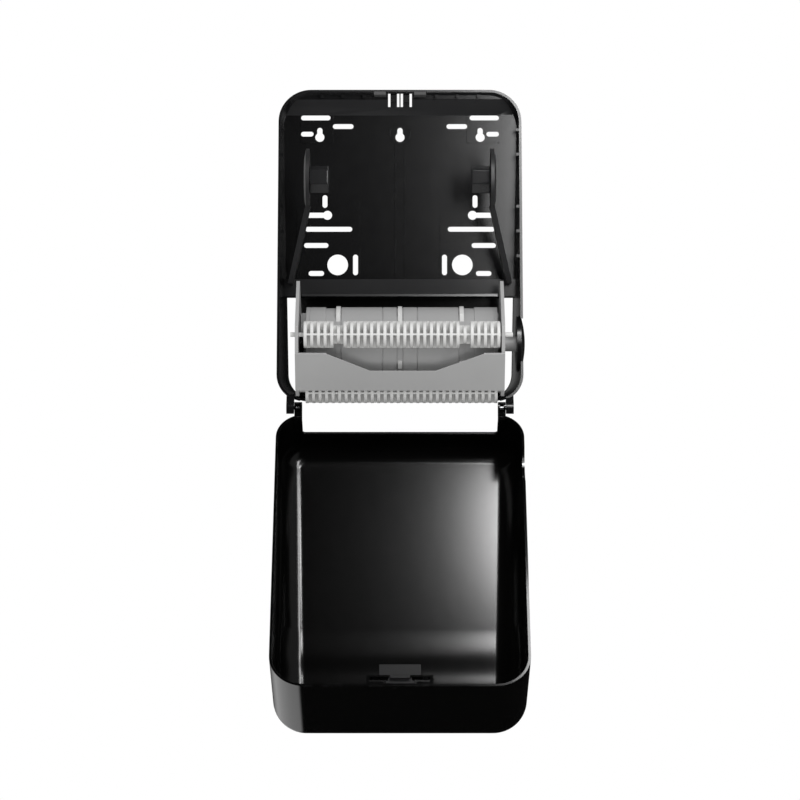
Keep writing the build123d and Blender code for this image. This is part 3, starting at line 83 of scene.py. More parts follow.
class DispenserSizes(bpy.types.PropertyGroup):
    """Edge rounding, roller sizes and viewing distances."""
    shell_edge: length_property("Shell Edge", 0.55 * MM, "Rounding on the edges of the black mouldings")
    hub_edge: length_property("Hub Edge", 1.4 * MM, "Rounding on the edges of the roll hubs")
    grey_edge: length_property("Frame Edge", 0.35 * MM, "Rounding on the edges of the grey mouldings")
    metal_edge: length_property("Metal Edge", 0.25 * MM, "Broken edge of pins and screws")
    disc_radius: length_property("Disc Radius", 14.4 * MM, "Radius of the pinch rollers' discs")
    disc_wall: length_property("Disc Wall", 3.4 * MM, "Thickness of a disc")
    disc_edge: length_property("Disc Edge", 0.4 * MM, "Rounding on the rim of a disc")
    disc_pitch: length_property("Disc Pitch", 7.13 * MM, "From one disc to the next on the upper roller")
    lower_pitch: length_property(
        "Lower Disc Pitch", 7.06 * MM, "From one disc to the next on the lower roller")
    web_reach: length_property("Web Reach", 14.2 * MM, "From the roller's axis to the edge of a web")
    web_wall: length_property("Web Wall", 1.9 * MM, "Thickness of the crossed webs")
    neck_radius: length_property(
        "Neck Radius", 9.8 * MM, "Radius of the small discs in the upper roller's necks")
    stub_radius: length_property("Stub Radius", 2.5 * MM, "Radius of the rollers' stub axles")
    camera_distance: length_property("Camera Distance", 3.5, "From the wall to the camera")
    camera_height: length_property("Camera Height", -0.2424, "Camera height above the origin")
    view_width: length_property("View Width", 0.8889, "Width of the picture at the wall")
    floor_drop: length_property("Floor Drop", 1.2, "Floor below the lowest point of the open cover")


def hex_colour(code):
    """Linear RGBA from an sRGB hex value."""
    parts = [int(code[i:i + 2], 16) / 255 for i in (1, 3, 5)]
    return tuple(p / 12.92 if p <= 0.04045 else ((p + 0.055) / 1.055) ** 2.4 for p in parts) + (1.0,)


def colour_property(label, code, words):
    return bpy.props.FloatVectorProperty(
        name=label, description=words, default=hex_colour(code), size=4, min=0.0, max=1.0, subtype="COLOR")


class DispenserColours(bpy.types.PropertyGroup):
    """Base colours of the finishes."""
    black: colour_property("Black", "#0e0e0f", "Casing, knob and left bush")
    black_worn: colour_property("Worn Black", "#2b2b2c", "Rubbed edges of the black mouldings")
    # Deep black also serves as painted shade on the recess behind the drum
    deep_black_and_recess_shade: colour_property("Deep Black", "#030303", "Cover, lock bracket and the recess behind the drum")
    # Arm black also serves as painted sheen on the casing's band and ramp
    arm_black_and_band_sheen: colour_property("Arm Black", "#262627", "Roll arms, hubs and the casing's band and ramp")
    dark: colour_property("Dark Grey", "#171718", "Lock slider")
    dark_worn: colour_property("Worn Dark Grey", "#2c2c2e", "Rubbed edges of the lock slider")
    grey: colour_property("Grey", "#a5a5a5", "Frame and drum of the feed unit")
    grey_worn: colour_property("Worn Grey", "#b6b6b6", "Rubbed edges of the grey mouldings")
    pale: colour_property("Pale Grey", "#d3d3d2", "Pinch rollers and paper guide")
    pale_worn: colour_property("Worn Pale Grey", "#dcdcda", "Rubbed edges of the pale mouldings")
    bearing: colour_property("Bearing", "#d8d6cf", "Right bush and cam roller")
    steel: colour_property("Steel", "#c9cacc", "Pins, shaft, screws and blade")
    rubber: colour_property("Rubber", "#4a4a4a", "Cover buffers")
    rubber_worn: colour_property("Worn Rubber", "#565656", "Rubbed edges of the buffers")
    floor: colour_property("Floor", "#e9e9e7", "Studio floor")


# Materials. The Mix node's sockets for numbers and colours, and Compare's for whole numbers, share
# their names with others, so they are given by their places.

MIX_A, MIX_B = 2, 3
COLOUR_A, COLOUR_B, COLOUR_OUT = 6, 7, 2
WHOLE_A, WHOLE_B = 2, 3

# Plastics: flow clouds, wear on the edges, haze and grain
FLOW_MM = 45
RUB_MM = 9
HAZE_MM = 12
NOISE_RANGE = {"From Min": 0.3, "From Max": 0.7}
WEAR_REACH = 0.9 * MM
WEAR_TURN = {"From Min": 0.995, "From Max": 0.9}
WEAR_PATCH = {"From Min": 0.42, "From Max": 0.62}
WEAR_POLISH = -0.08
GRAIN_STRENGTH = 0.25
PLASTIC_IOR = 1.53

# Steel: lines along the draw, and clouds in the plating
DRAW_MM = 0.5
DRAW_STRETCH = (0.04, 1.0, 1.0)
DRAW_GLOSS = {"To Min": 0.2, "To Max": 0.38}
DRAW_STRENGTH = 0.15
DRAW_DEPTH = 0.02 * MM
PLATING_MM = 9
PLATING_SHADE = 0.85


def add_node(tree, kind, settings=None, links=None):
    """Add a node, set its properties and input values, and link its inputs."""
    made = tree.nodes.new(kind)
    for name, value in (settings or {}).items():
        if isinstance(name, int) or name in made.inputs:
            made.inputs[name].default_value = value
        else:
            setattr(made, name, value)
    for name, socket in (links or {}).items():
        tree.links.new(socket, made.inputs[name])
    return made


def new_material(name):
    """Empty node material: its tree, shader and object coordinates."""
    material = bpy.data.materials.new(name)
    material.use_nodes = True
    tree = material.node_tree
    tree.nodes.clear()
    shader = add_node(tree, "ShaderNodeBsdfPrincipled")
    add_node(tree, "ShaderNodeOutputMaterial", None, {"Surface": shader.outputs["BSDF"]})
    place = add_node(tree, "ShaderNodeTexCoord").outputs["Object"]
    return material, tree, shader, place


def per_metre(millimetres):
    """Noise scale whose features are about this size."""
    return 1 / (millimetres * MM)


def shaded(colour, factor):
    """A colour made darker or lighter."""
    return tuple(min(1.0, part * factor) for part in colour[:3]) + (1.0,)


def moulded_plastic(name, colour, worn, roughness, spread, grain_mm, grain_depth, cloud=0.12):
    """Injection-moulded plastic: an even colour with faint flow clouds, a gloss that wanders
    a little over the surface, the fine spark grain that the steel mould leaves, and edges
    that hands and paper have rubbed lighter and smoother here and there. The grain is drawn
    coarser than real so that it shows."""
    material, tree, shader, place = new_material(name)
    flow = add_node(
        tree, "ShaderNodeTexNoise", {"Scale": per_metre(FLOW_MM), "Detail": 3.0}, {"Vector": place})
    tint = add_node(
        tree, "ShaderNodeMix",
        {"data_type": "RGBA", COLOUR_A: shaded(colour, 1 - cloud), COLOUR_B: shaded(colour, 1 + cloud)},
        {0: flow.outputs[0]})

    # Edges: where a rounded normal leaves the surface's own
    own = add_node(tree, "ShaderNodeNewGeometry").outputs["Normal"]
    rounded = add_node(tree, "ShaderNodeBevel", {"samples": 4, "Radius": WEAR_REACH}).outputs[0]
    turn = add_node(tree, "ShaderNodeVectorMath", {"operation": "DOT_PRODUCT"}, {0: own, 1: rounded})
    edge = add_node(tree, "ShaderNodeMapRange", WEAR_TURN, {"Value": turn.outputs["Value"]})
    rub = add_node(
        tree, "ShaderNodeTexNoise", {"Scale": per_metre(RUB_MM), "Detail": 3.0}, {"Vector": place})
    patch = add_node(tree, "ShaderNodeMapRange", WEAR_PATCH, {"Value": rub.outputs[0]})
    wear = add_node(
        tree, "ShaderNodeMath", {"operation": "MULTIPLY"}, {0: edge.outputs[0], 1: patch.outputs[0]})
    face = add_node(
        tree, "ShaderNodeMix", {"data_type": "RGBA", COLOUR_B: tuple(worn)},
        {0: wear.outputs[0], COLOUR_A: tint.outputs[COLOUR_OUT]})
    tree.links.new(face.outputs[COLOUR_OUT], shader.inputs["Base Color"])

    # Gloss: it wanders with the haze, and wear polishes it
    haze = add_node(
        tree, "ShaderNodeTexNoise", {"Scale": per_metre(HAZE_MM), "Detail": 4.0}, {"Vector": place})
    gloss = add_node(
        tree, "ShaderNodeMapRange",
        {**NOISE_RANGE, "To Min": roughness - spread, "To Max": roughness + spread},
        {"Value": haze.outputs[0]})
    polish = add_node(
        tree, "ShaderNodeMath", {"operation": "MULTIPLY_ADD", 1: WEAR_POLISH},
        {0: wear.outputs[0], 2: gloss.outputs[0]})
    tree.links.new(polish.outputs[0], shader.inputs["Roughness"])

    grain = add_node(
        tree, "ShaderNodeTexNoise", {"Scale": per_metre(grain_mm), "Detail": 2.0}, {"Vector": place})
    bump = add_node(
        tree, "ShaderNodeBump", {"Strength": GRAIN_STRENGTH, "Distance": grain_depth},
        {"Height": grain.outputs[0]})
    tree.links.new(bump.outputs[0], shader.inputs["Normal"])
    shader.inputs["IOR"].default_value = PLASTIC_IOR
    return material


def drawn_steel(name, colour):
    """Zinc-plated drawn steel: bright metal with fine lines along the draw (X) and small clouds
    in the plating. The lines are drawn coarser than real so that they show."""
    material, tree, shader, place = new_material(name)
    stretch = add_node(tree, "ShaderNodeMapping", {"Scale": DRAW_STRETCH}, {"Vector": place})
    lines = add_node(
        tree, "ShaderNodeTexNoise", {"Scale": per_metre(DRAW_MM), "Detail": 2.0},
        {"Vector": stretch.outputs[0]})
    gloss = add_node(
        tree, "ShaderNodeMapRange", {**NOISE_RANGE, **DRAW_GLOSS}, {"Value": lines.outputs[0]})
    tree.links.new(gloss.outputs[0], shader.inputs["Roughness"])
    clouds = add_node(
        tree, "ShaderNodeTexNoise", {"Scale": per_metre(PLATING_MM), "Detail": 2.0}, {"Vector": place})
    tint = add_node(
        tree, "ShaderNodeMix",
        {"data_type": "RGBA", COLOUR_A: shaded(colour, PLATING_SHADE), COLOUR_B: tuple(colour)},
        {0: clouds.outputs[0]})
    tree.links.new(tint.outputs[COLOUR_OUT], shader.inputs["Base Color"])
    bump = add_node(
        tree, "ShaderNodeBump", {"Strength": DRAW_STRENGTH, "Distance": DRAW_DEPTH},
        {"Height": lines.outputs[0]})
    tree.links.new(bump.outputs[0], shader.inputs["Normal"])
    shader.inputs["Metallic"].default_value = 1.0
    return material


def make_materials():
    """The finishes, by the record's material slots, and the blacks that differ within one slot. A
    plastic has its roughness and how far that wanders, then the grain's size in mm and its depth."""
    c = bpy.context.scene.dispenser_colours
    return {
        # Fine spark texture: a soft sheen over dark faces
        "black_plastic": moulded_plastic(
            "Black ABS, satin moulding", c.black, c.black_worn, 0.25, 0.01, 0.7, 0.012 * MM),
        # Polished mould: clear reflections in a deep black
        "polished_black": moulded_plastic(
            "Black ABS, polished moulding", c.deep_black_and_recess_shade, c.black_worn, 0.12, 0.01, 1.2, 0.001 * MM),
        # Lightly blasted mould: the same deep black with blurred reflections and no worn edges. On the back
        # plate's recess behind the drum this black is painted shade
        "inner_black_and_recess_shade": moulded_plastic(
            "Black ABS, blasted moulding and painted recess shade", c.deep_black_and_recess_shade, c.deep_black_and_recess_shade, 0.17, 0.006, 1.2, 0.002 * MM),
        # Painted sheen: the satin moulding in a greyer black, so that the casing's band and ramp look lit
        "painted_sheen_black": moulded_plastic(
            "Black ABS, satin moulding with painted sheen", c.arm_black_and_band_sheen, c.black_worn, 0.25, 0.01, 0.7, 0.012 * MM),
        # Polished and greyer: each facet has its own even tone
        "hub_black": moulded_plastic(
            "Black ABS, polished hub", c.arm_black_and_band_sheen, c.black_worn, 0.14, 0.01, 1.2, 0.001 * MM),
        # Fibres at the surface: a dull dark grey without clear highlights
        "arm_nylon": moulded_plastic(
            "Black glass-filled nylon, moulded", c.arm_black_and_band_sheen, c.black_worn, 0.45, 0.03, 0.7, 0.02 * MM),
        # Matt texture: a dark face that hardly shines
        "dark_plastic": moulded_plastic(
            "Dark grey ABS moulding", c.dark, c.dark_worn, 0.42, 0.04, 0.7, 0.02 * MM),
        # Waxy and even, both greys: soft shading, and hardly any reflection
        "grey_plastic": moulded_plastic(
            "Grey acetal moulding", c.grey, c.grey_worn, 0.48, 0.05, 0.8, 0.02 * MM, 0.04),
        "pale_plastic": moulded_plastic(
            "Pale acetal moulding", c.pale, c.pale_worn, 0.48, 0.05, 0.8, 0.02 * MM, 0.03),
        # Undyed: milky and slightly warm
        "bearing_plastic": moulded_plastic(
            "Natural nylon, moulded", c.bearing, c.bearing, 0.4, 0.05, 0.8, 0.02 * MM, 0.03),
        "steel": drawn_steel("Zinc-plated drawn steel", c.steel),
        # Rough and soft: a dull grey with no highlight
        "rubber": moulded_plastic(
            "Moulded rubber", c.rubber, c.rubber_worn, 0.75, 0.06, 0.5, 0.06 * MM),
    }


# Meshes

slot_of = {row["node"]: row["material_slot"] for row in frame["record"]["subparts"]}
body_of = {node: body for body, nodes in frame["record"]["behaviour"]["bodies"].items() for node in nodes}
finishes = {}
SMOOTH_ANGLE = radians(32)
FLAT_ANGLE = radians(0.5)
EDGE_SEGMENTS = 2
WELD_GAP = 0.002 * MM
CUT_GAP = 0.001 * MM
NEAR = 0.3 * MM


def finish_of(slot):
    """The material of a slot, made at first use."""
    if not finishes:
        finishes.update(make_materials())
    return finishes[slot]


def add_object(name, data):
    """A new object in the scene."""
    made = bpy.data.objects.new(name, data)
    bpy.context.scene.collection.objects.link(made)
    return made


def seat(name, mesh, node, finish=None):
    """Put a finished mesh in the scene in place of a solid, with its body and finish."""
    piece = add_object(name, mesh)
    if not mesh.materials:
        mesh.materials.append(finish_of(finish or slot_of[node]))
    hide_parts(node)
    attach(piece, body_of[node])
    return piece


def smooth_curves(bm):
    """Shade curved faces smooth and keep the creases sharp."""
    for face in bm.faces:
        face.smooth = True
    for line in bm.edges:
        line.smooth = line.calc_face_angle(0) < SMOOTH_ANGLE


def merged_solid(node):
    """A copy of the solid with its triangles merged into whole faces."""
    bm = bmesh.new()
    bm.from_mesh(frame["nodes"][node].data)
    bmesh.ops.remove_doubles(bm, verts=bm.verts, dist=WELD_GAP)
    bmesh.ops.dissolve_limit(bm, angle_limit=FLAT_ANGLE, verts=bm.verts, edges=bm.edges)
    return bm


def cut(bm, place, normal):
    """Add edges where a plane crosses the mesh."""
    bmesh.ops.bisect_plane(
        bm, geom=bm.verts[:] + bm.edges[:] + bm.faces[:], dist=CUT_GAP, plane_co=place, plane_no=normal)


def moulded_piece(node, bm, edge, finish=None):
    """Seat a mesh as a moulding with rounded edges and even shading on its flats."""
    smooth_curves(bm)
    mesh = bpy.data.meshes.new(node + "_moulding")
    bm.to_mesh(mesh)
    bm.free()
    piece = seat(node + "_moulding", mesh, node, finish)
    if edge > 0:
        rounding = piece.modifiers.new("Rounded edges", "BEVEL")
        rounding.width = edge
        rounding.segments = EDGE_SEGMENTS
        rounding.limit_method = "ANGLE"
        rounding.angle_limit = SMOOTH_ANGLE
        rounding.harden_normals = True
    flats = piece.modifiers.new("Even flats", "WEIGHTED_NORMAL")
    flats.keep_sharp = True
    return piece


def moulded_copy(node, edge, finish=None):
    """The solid's own shape, finished as a moulding."""
    return moulded_piece(node, merged_solid(node), edge, finish)


def flush_copy(node, edge, left, finish=None):
    """The solid's own shape, cut flush at its left end."""
    bm = merged_solid(node)
    for vert in bm.verts:
        vert.co.x = max(vert.co.x, left)
    return moulded_piece(node, bm, edge, finish)


def smooth_step(value, low, high):
    """0 below the low value, 1 above the high one, smooth between."""
    share = min(1.0, max(0.0, (value - low) / (high - low)))
    return share * share * (3 - 2 * share)


def eased(points, place):
    """The value at a place between points, smooth from each to the next, and 0 outside them."""
    for (first, low), (last, high) in zip(points, points[1:]):
        if first <= place < last:
            return low + (high - low) * smooth_step(place, first, last)
    return 0.0


# Drum: its grooves are shallower than the solid's, and its shaft and left bush end flush with the
# side plate

DRUM_AXIS = sum(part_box("drum_shaft"), Vector()) / 2
GROOVE_RADIUS = 36.0 * MM
GROOVE_SHALLOW = 38.8 * MM
BUSH_LEFT = -113.5 * MM
SHAFT_LEFT = -113.8 * MM


def drum_arm(place):
    """The way from the drum's axis to a place, square to the axis."""
    return Vector((0.0, place.y - DRUM_AXIS.y, place.z - DRUM_AXIS.z))


def drum_mesh(node):
    """A drum shell with shallow grooves."""
    bm = merged_solid(node)
    for vert in bm.verts:
        arm = drum_arm(vert.co)
        if abs(arm.length - GROOVE_RADIUS) < NEAR:
            vert.co += arm.normalized() * (GROOVE_SHALLOW - arm.length)
    return bm


# Back plate: its tongue fills the space behind the feed unit and its lip leans back. Its recess
# behind the drum is painted deep black as shade, and its band and the ramp under its top a greyer black as
# painted sheen

TONGUE_HALF = 107.0 * MM
TONGUE_WIDE = 112.0 * MM
TONGUE_BOTTOM = -236.0 * MM
TONGUE_LOW = -240.4 * MM
LIP_HALF = 108.0 * MM
LIP_FRONT = -25.5 * MM
LIP_TOP = -125.4 * MM
LIP_LEAN = 0.9 * MM
BAND_FRONT = -21.5 * MM
BAND_TOP = -106.5 * MM
BAND_BOTTOM = -128.5 * MM
RECESS_TOP = -130.0 * MM
RECESS_FRONT = -5.0 * MM
RAMP_FOOT = 70.0 * MM
RAMP_FORWARD = -0.3
RAMP_DOWN = -0.1
FACES_WALL = 0.5
SATIN, RECESS_SHADE, PAINTED_SHEEN = range(3)


def casing_finish(face):
    """Which of the casing's three finishes a face has, in the order of its materials: satin, painted shade on
    the recess, and painted sheen on the band and ramp.
    """
    depths = [vert.co.y for vert in face.verts]
    heights = [vert.co.z for vert in face.verts]
    low, high = min(heights), max(heights)
    if face.normal.y > FACES_WALL:
        return SATIN
    # The recess behind the drum: a deep black as painted shade
    if min(depths) > RECESS_FRONT and high < RECESS_TOP + NEAR:
        return RECESS_SHADE
    # Band and ramp: a greyer black as painted sheen
    on_band = max(depths) < BAND_FRONT and low > BAND_BOTTOM and high < BAND_TOP
    on_ramp = face.normal.y < RAMP_FORWARD and face.normal.z < RAMP_DOWN and low > RAMP_FOOT
    return PAINTED_SHEEN if on_band or on_ramp else SATIN


def casing_mesh():
    """The back plate with a full tongue behind the drum and a leaning lip under the band."""
    bm = merged_solid("back_plate")
    for vert in bm.verts:
        x, y, z = vert.co
        if abs(abs(x) - TONGUE_HALF) < NEAR and y > RECESS_FRONT and z < LIP_TOP:
            vert.co.x = copysign(TONGUE_WIDE, x)
            if abs(z - TONGUE_BOTTOM) < NEAR:
                vert.co.z = TONGUE_LOW
        elif abs(abs(x) - LIP_HALF) < NEAR and abs(y - LIP_FRONT) < NEAR and abs(z - LIP_TOP) < NEAR:
            vert.co.y += LIP_LEAN
    cut(bm, (0.0, 0.0, RECESS_TOP), (0.0, 0.0, 1.0))
    bm.normal_update()
    for face in bm.faces:
        face.material_index = casing_finish(face)
    return bm


# Paper guide: its fingers arch over the drum above the roller and end in short feet. The arch is
# given by degrees up from the drum's front, and by millimetres from the drum's axis. A foot has its
# radius below FOOT_FULL, and a finger lies in its groove from FOOT_TOP to SUNK_TOP, where it is
# painted grey as shade.

FINGER_INNER = 36.8 * MM
FINGER_CLEAR = 38.95 * MM
FINGER_ARCH = ((48, 43.0), (66, 42.4), (92, 40.8), (100, 41.2))
FINGER_STEP = 6
FOOT_RADIUS = 41.5 * MM
FOOT_FULL = -30
FOOT_TOP = -29
SUNK_TOP = 37
PALE, GROOVE_SHADE = range(2)


def angle_up(arm):
    """Degrees from the drum's front up to an arm from its axis."""
    return degrees(atan2(arm.z, -arm.y))


def guide_mesh():
    """The paper guide with arched pale fingers and feet, and grey as painted shade where they lie in the
    grooves.
    """
    bm = merged_solid("paper_guide")
    first, last = FINGER_ARCH[0][0], FINGER_ARCH[-1][0]
    for angle in (FOOT_TOP, SUNK_TOP, *range(first + FINGER_STEP, last, FINGER_STEP)):
        cut(bm, DRUM_AXIS, (0.0, sin(radians(angle)), cos(radians(angle))))
    for vert in bm.verts:
        arm = drum_arm(vert.co)
        if arm.length < FINGER_INNER + NEAR:
            radius = FINGER_CLEAR
        elif angle_up(arm) < FOOT_FULL:
            radius = FOOT_RADIUS
        else:
            radius = eased(FINGER_ARCH, angle_up(arm)) * MM
        if radius:
            vert.co += arm.normalized() * (radius - arm.length)
    for face in bm.faces:
        sunk = FOOT_TOP < angle_up(drum_arm(face.calc_center_median())) < SUNK_TOP
        # Grey in the grooves is painted shade
        face.material_index = GROOVE_SHADE if sunk else PALE
    return bm


# Cover: polished outside and blasted inside, with a soft crease across its floor and a floor that
# narrows to the far end. The floor lies in the directions X and ALONG, and faces INWARD. The
# crease is given by millimetres from the hinge, and its height in millimetres. The walls bend into
# the floor between the depths WALL_FOOT and FLOOR_TOP.

COVER_MIDDLE = Vector((0.0, -0.16, -0.42))
HINGE = Vector((0.0, -0.09, -0.251))
ALONG = Vector((0.0, -0.454, -0.891))
INWARD = Vector((0.0, -0.891, 0.454))
WALL_FOOT = 57.0 * MM
FLOOR_TOP = 78.0 * MM
FLOOR_START = 33.0 * MM
FLOOR_END = 344.0 * MM
CREASE_STEP = 2.0 * MM
CREASE = ((226, 0.0), (256, 0.85), (276, 0.05), (292, 0.5), (326, 0.0))
NEAR_NARROWING = 0.02
FAR_NARROWING = 0.082
HINGE_END = 38.0 * MM
HINGE_SHIFT = 2.4 * MM
POLISHED, BLASTED = range(2)


def cover_piece(edge):
    """The cover with one finish for its outer faces and one for its inner faces."""
    bm = merged_solid("cover_shell")
    steps = int((CREASE[-1][0] - CREASE[0][0]) * MM / CREASE_STEP)
    for index in range(steps + 1):
        cut(bm, HINGE + ALONG * (CREASE[0][0] * MM + index * CREASE_STEP), ALONG)
    bm.normal_update()
    inner_verts = set()
    for face in bm.faces:
        inside = face.normal.dot(COVER_MIDDLE - face.calc_center_median()) > 0
        face.material_index = BLASTED if inside else POLISHED
        if inside:
            inner_verts.update(face.verts)
    for vert in inner_verts:
        arm = vert.co - HINGE
        along, depth = arm.dot(ALONG), -arm.dot(INWARD)
        deep = smooth_step(depth, WALL_FOOT, FLOOR_TOP)
        vert.co += INWARD * eased(CREASE, along / MM) * MM * deep
        share = smooth_step(along, FLOOR_START, FLOOR_END)
        vert.co.x *= 1 - deep * (NEAR_NARROWING + (FAR_NARROWING - NEAR_NARROWING) * share)
        if along < HINGE_END:
            vert.co -= ALONG * HINGE_SHIFT * deep
    piece = moulded_piece("cover_shell", bm, edge, "polished_black")
    piece.data.materials.append(finish_of("inner_black_and_recess_shade"))
    return piece


# Rollers: each group of discs has the place of its first disc and their number

ROLLER_GROUPS = {
    "upper_roller": ((-101.8 * MM, 5), (-58.98 * MM, 18), (77.48 * MM, 5)),
    "lower_roller": ((-100.7 * MM, 30),),
}
WEB_TURN = {"upper_roller": 0.0, "lower_roller": radians(15)}
WEB_RUN, NECK_RUN, AXLE_RUN = range(3)
DISC_SIDES = 72
AXLE_SIDES = 32
RIM_STEPS = 3


def ribbed_roller_tree():
    """Nodes that set rounded discs on a line's points, and crossed webs and an axle along its runs."""
    tree = bpy.data.node_groups.new("Ribbed roller", "GeometryNodeTree")
    tree.interface.new_socket("Line", in_out="INPUT", socket_type="NodeSocketGeometry")
    for label in ("Disc Radius", "Disc Wall", "Disc Edge", "Web Reach", "Neck Reach", "Web Wall",
                  "Web Turn", "Stub Radius"):
        tree.interface.new_socket(label, in_out="INPUT", socket_type="NodeSocketFloat")
    tree.interface.new_socket("Finish", in_out="INPUT", socket_type="NodeSocketMaterial")
    tree.interface.new_socket("Roller", in_out="OUTPUT", socket_type="NodeSocketGeometry")
    size = add_node(tree, "NodeGroupInput").outputs
    line = size["Line"]

    # Disc: a ring of rounded section whose small bore the axle fills
    bore = add_node(tree, "ShaderNodeMath", {"operation": "MULTIPLY", 1: 0.5}, {0: size["Stub Radius"]})
    across = add_node(
        tree, "ShaderNodeMath", {"operation": "ADD"}, {0: size["Disc Radius"], 1: bore.outputs[0]})
    middle = add_node(tree, "ShaderNodeMath", {"operation": "MULTIPLY", 1: 0.5}, {0: across.outputs[0]})
    width = add_node(
        tree, "ShaderNodeMath", {"operation": "SUBTRACT"}, {0: size["Disc Radius"], 1: bore.outputs[0]})
    section = add_node(
        tree, "GeometryNodeCurvePrimitiveQuadrilateral", None,
        {"Width": width.outputs[0], "Height": size["Disc Wall"]})
    round_section = add_node(
        tree, "GeometryNodeFilletCurve", {"mode": "POLY", "Count": RIM_STEPS, "Limit Radius": True},
        {"Curve": section.outputs[0], "Radius": size["Disc Edge"]})
    circle = add_node(
        tree, "GeometryNodeCurvePrimitiveCircle", {"Resolution": DISC_SIDES}, {"Radius": middle.outputs[0]})
    ring = add_node(
        tree, "GeometryNodeCurveToMesh", None,
        {"Curve": circle.outputs[0], "Profile Curve": round_section.outputs[0]})
    share = add_node(
        tree, "GeometryNodeInputNamedAttribute", {"data_type": "FLOAT", "Name": "disc"}).outputs[0]
    holds = add_node(tree, "FunctionNodeCompare", {"operation": "GREATER_THAN"}, {0: share})
    scale = add_node(tree, "ShaderNodeCombineXYZ", {"Z": 1.0}, {"X": share, "Y": share})
    discs = add_node(
        tree, "GeometryNodeInstanceOnPoints", {"Rotation": (0.0, pi / 2, 0.0)},
        {"Points": line, "Selection": holds.outputs[0],
         "Instance": ring.outputs[0], "Scale": scale.outputs[0]})
    shapes = [add_node(tree, "GeometryNodeRealizeInstances", None, {0: discs.outputs[0]}).outputs[0]]

    # Webs and axle along the runs
    run = add_node(
        tree, "GeometryNodeInputNamedAttribute", {"data_type": "INT", "Name": "run"}).outputs[0]
    axle = add_node(
        tree, "GeometryNodeCurvePrimitiveCircle", {"Resolution": AXLE_SIDES},
        {"Radius": size["Stub Radius"]})
    profiles = [(AXLE_RUN, axle.outputs[0])]
    for kind, reach in ((WEB_RUN, size["Web Reach"]), (NECK_RUN, size["Neck Reach"])):
        span = add_node(tree, "ShaderNodeMath", {"operation": "MULTIPLY", 1: 2.0}, {0: reach}).outputs[0]
        for sides in (("Width", "Height"), ("Height", "Width")):
            plate = add_node(
                tree, "GeometryNodeCurvePrimitiveQuadrilateral", None,
                {sides[0]: span, sides[1]: size["Web Wall"]})
            angle = add_node(tree, "ShaderNodeCombineXYZ", None, {"Z": size["Web Turn"]})
            turned = add_node(
                tree, "GeometryNodeTransform", None,
                {"Geometry": plate.outputs[0], "Rotation": angle.outputs[0]})
            profiles.append((kind, turned.outputs[0]))
    for kind, profile in profiles:
        same = add_node(
            tree, "FunctionNodeCompare", {"data_type": "INT", "operation": "EQUAL", WHOLE_B: kind},
            {WHOLE_A: run})
        part = add_node(
            tree, "GeometryNodeSeparateGeometry", {"domain": "EDGE"},
            {"Geometry": line, "Selection": same.outputs[0]})
        path = add_node(tree, "GeometryNodeMeshToCurve", None, {"Mesh": part.outputs[0]})
        swept = add_node(
            tree, "GeometryNodeCurveToMesh", {"Fill Caps": True},
            {"Curve": path.outputs[0], "Profile Curve": profile})
        shapes.append(swept.outputs[0])

    whole = add_node(tree, "GeometryNodeMeshBoolean", {"operation": "UNION", "solver": "MANIFOLD"})
    for shape in shapes:
        tree.links.new(shape, whole.inputs["Mesh 2"])
    real = add_node(tree, "GeometryNodeRealizeInstances", None, {0: whole.outputs[0]})
    painted = add_node(
        tree, "GeometryNodeSetMaterial", None, {"Geometry": real.outputs[0], "Material": size["Finish"]})
    add_node(tree, "NodeGroupOutput", None, {0: painted.outputs[0]})
    return tree


def made_by_nodes(tree, source, values):
    """The plain mesh that a node tree makes from a source mesh."""
    carrier = add_object(source.name, source)
    modifier = carrier.modifiers.new(tree.name, "NODES")
    modifier.node_group = tree
    for item in tree.interface.items_tree:
        if item.in_out == "INPUT" and item.name in values:
            modifier[item.identifier] = values[item.name]
    mesh = bpy.data.meshes.new_from_object(carrier.evaluated_get(bpy.context.evaluated_depsgraph_get()))
    bpy.data.objects.remove(carrier)
    return mesh


def roller_line(node, pitch, neck_share):
    """Points for a roller's discs, joined by the runs of its webs, necks and axle."""
    low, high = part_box(node)
    middle = (low + high) / 2
    places, shares, edges, runs = [], [], [], []

    def point(x, share):
        places.append((x, middle.y, middle.z))
        shares.append(share)
        return len(places) - 1

    last = None
    for first, count in ROLLER_GROUPS[node]:
        row = [point(first + index * pitch, 1.0) for index in range(count)]
        edges.append((row[0], row[-1]))
        runs.append(WEB_RUN)
        if last is not None:
            point((places[last][0] + first) / 2, neck_share)
            edges.append((last, row[0]))
            runs.append(NECK_RUN)
        last = row[-1]
    edges.append((point(low.x, 0.0), point(high.x, 0.0)))
    runs.append(AXLE_RUN)
    mesh = bpy.data.meshes.new(node + "_line")
    mesh.from_pydata(places, edges, [])
    mesh.attributes.new("disc", "FLOAT", "POINT").data.foreach_set("value", shares)
    mesh.attributes.new("run", "INT", "EDGE").data.foreach_set("value", runs)
    return mesh


# Stage. A lamp has its place and target, its width, height and watts, and whether matt and glossy
# surfaces see it.

FLOOR_CORNERS = ((-4.0, -6.0), (4.0, -6.0), (4.0, 0.4), (-4.0, 0.4))
FLOOR_ROUGHNESS = 0.6
LAMPS = {
    "key_softbox": ((0.2, -0.85, 0.6), (0.0, 0.0, -0.25), 0.14, 0.18, 1.8, True, True),
    "side_strip": ((0.2, -0.5, 0.12), (0.08, 0.0, 0.0), 0.1, 0.45, 1.65, False, True),
    "side_softbox": ((0.5, -1.0, 0.3), (0.0, 0.0, -0.15), 0.2, 0.3, 2.5, True, False),
    "low_fill": ((0.0, -1.2, -0.62), (0.0, -0.08, -0.2), 0.6, 0.3, 3.0, True, False),
}

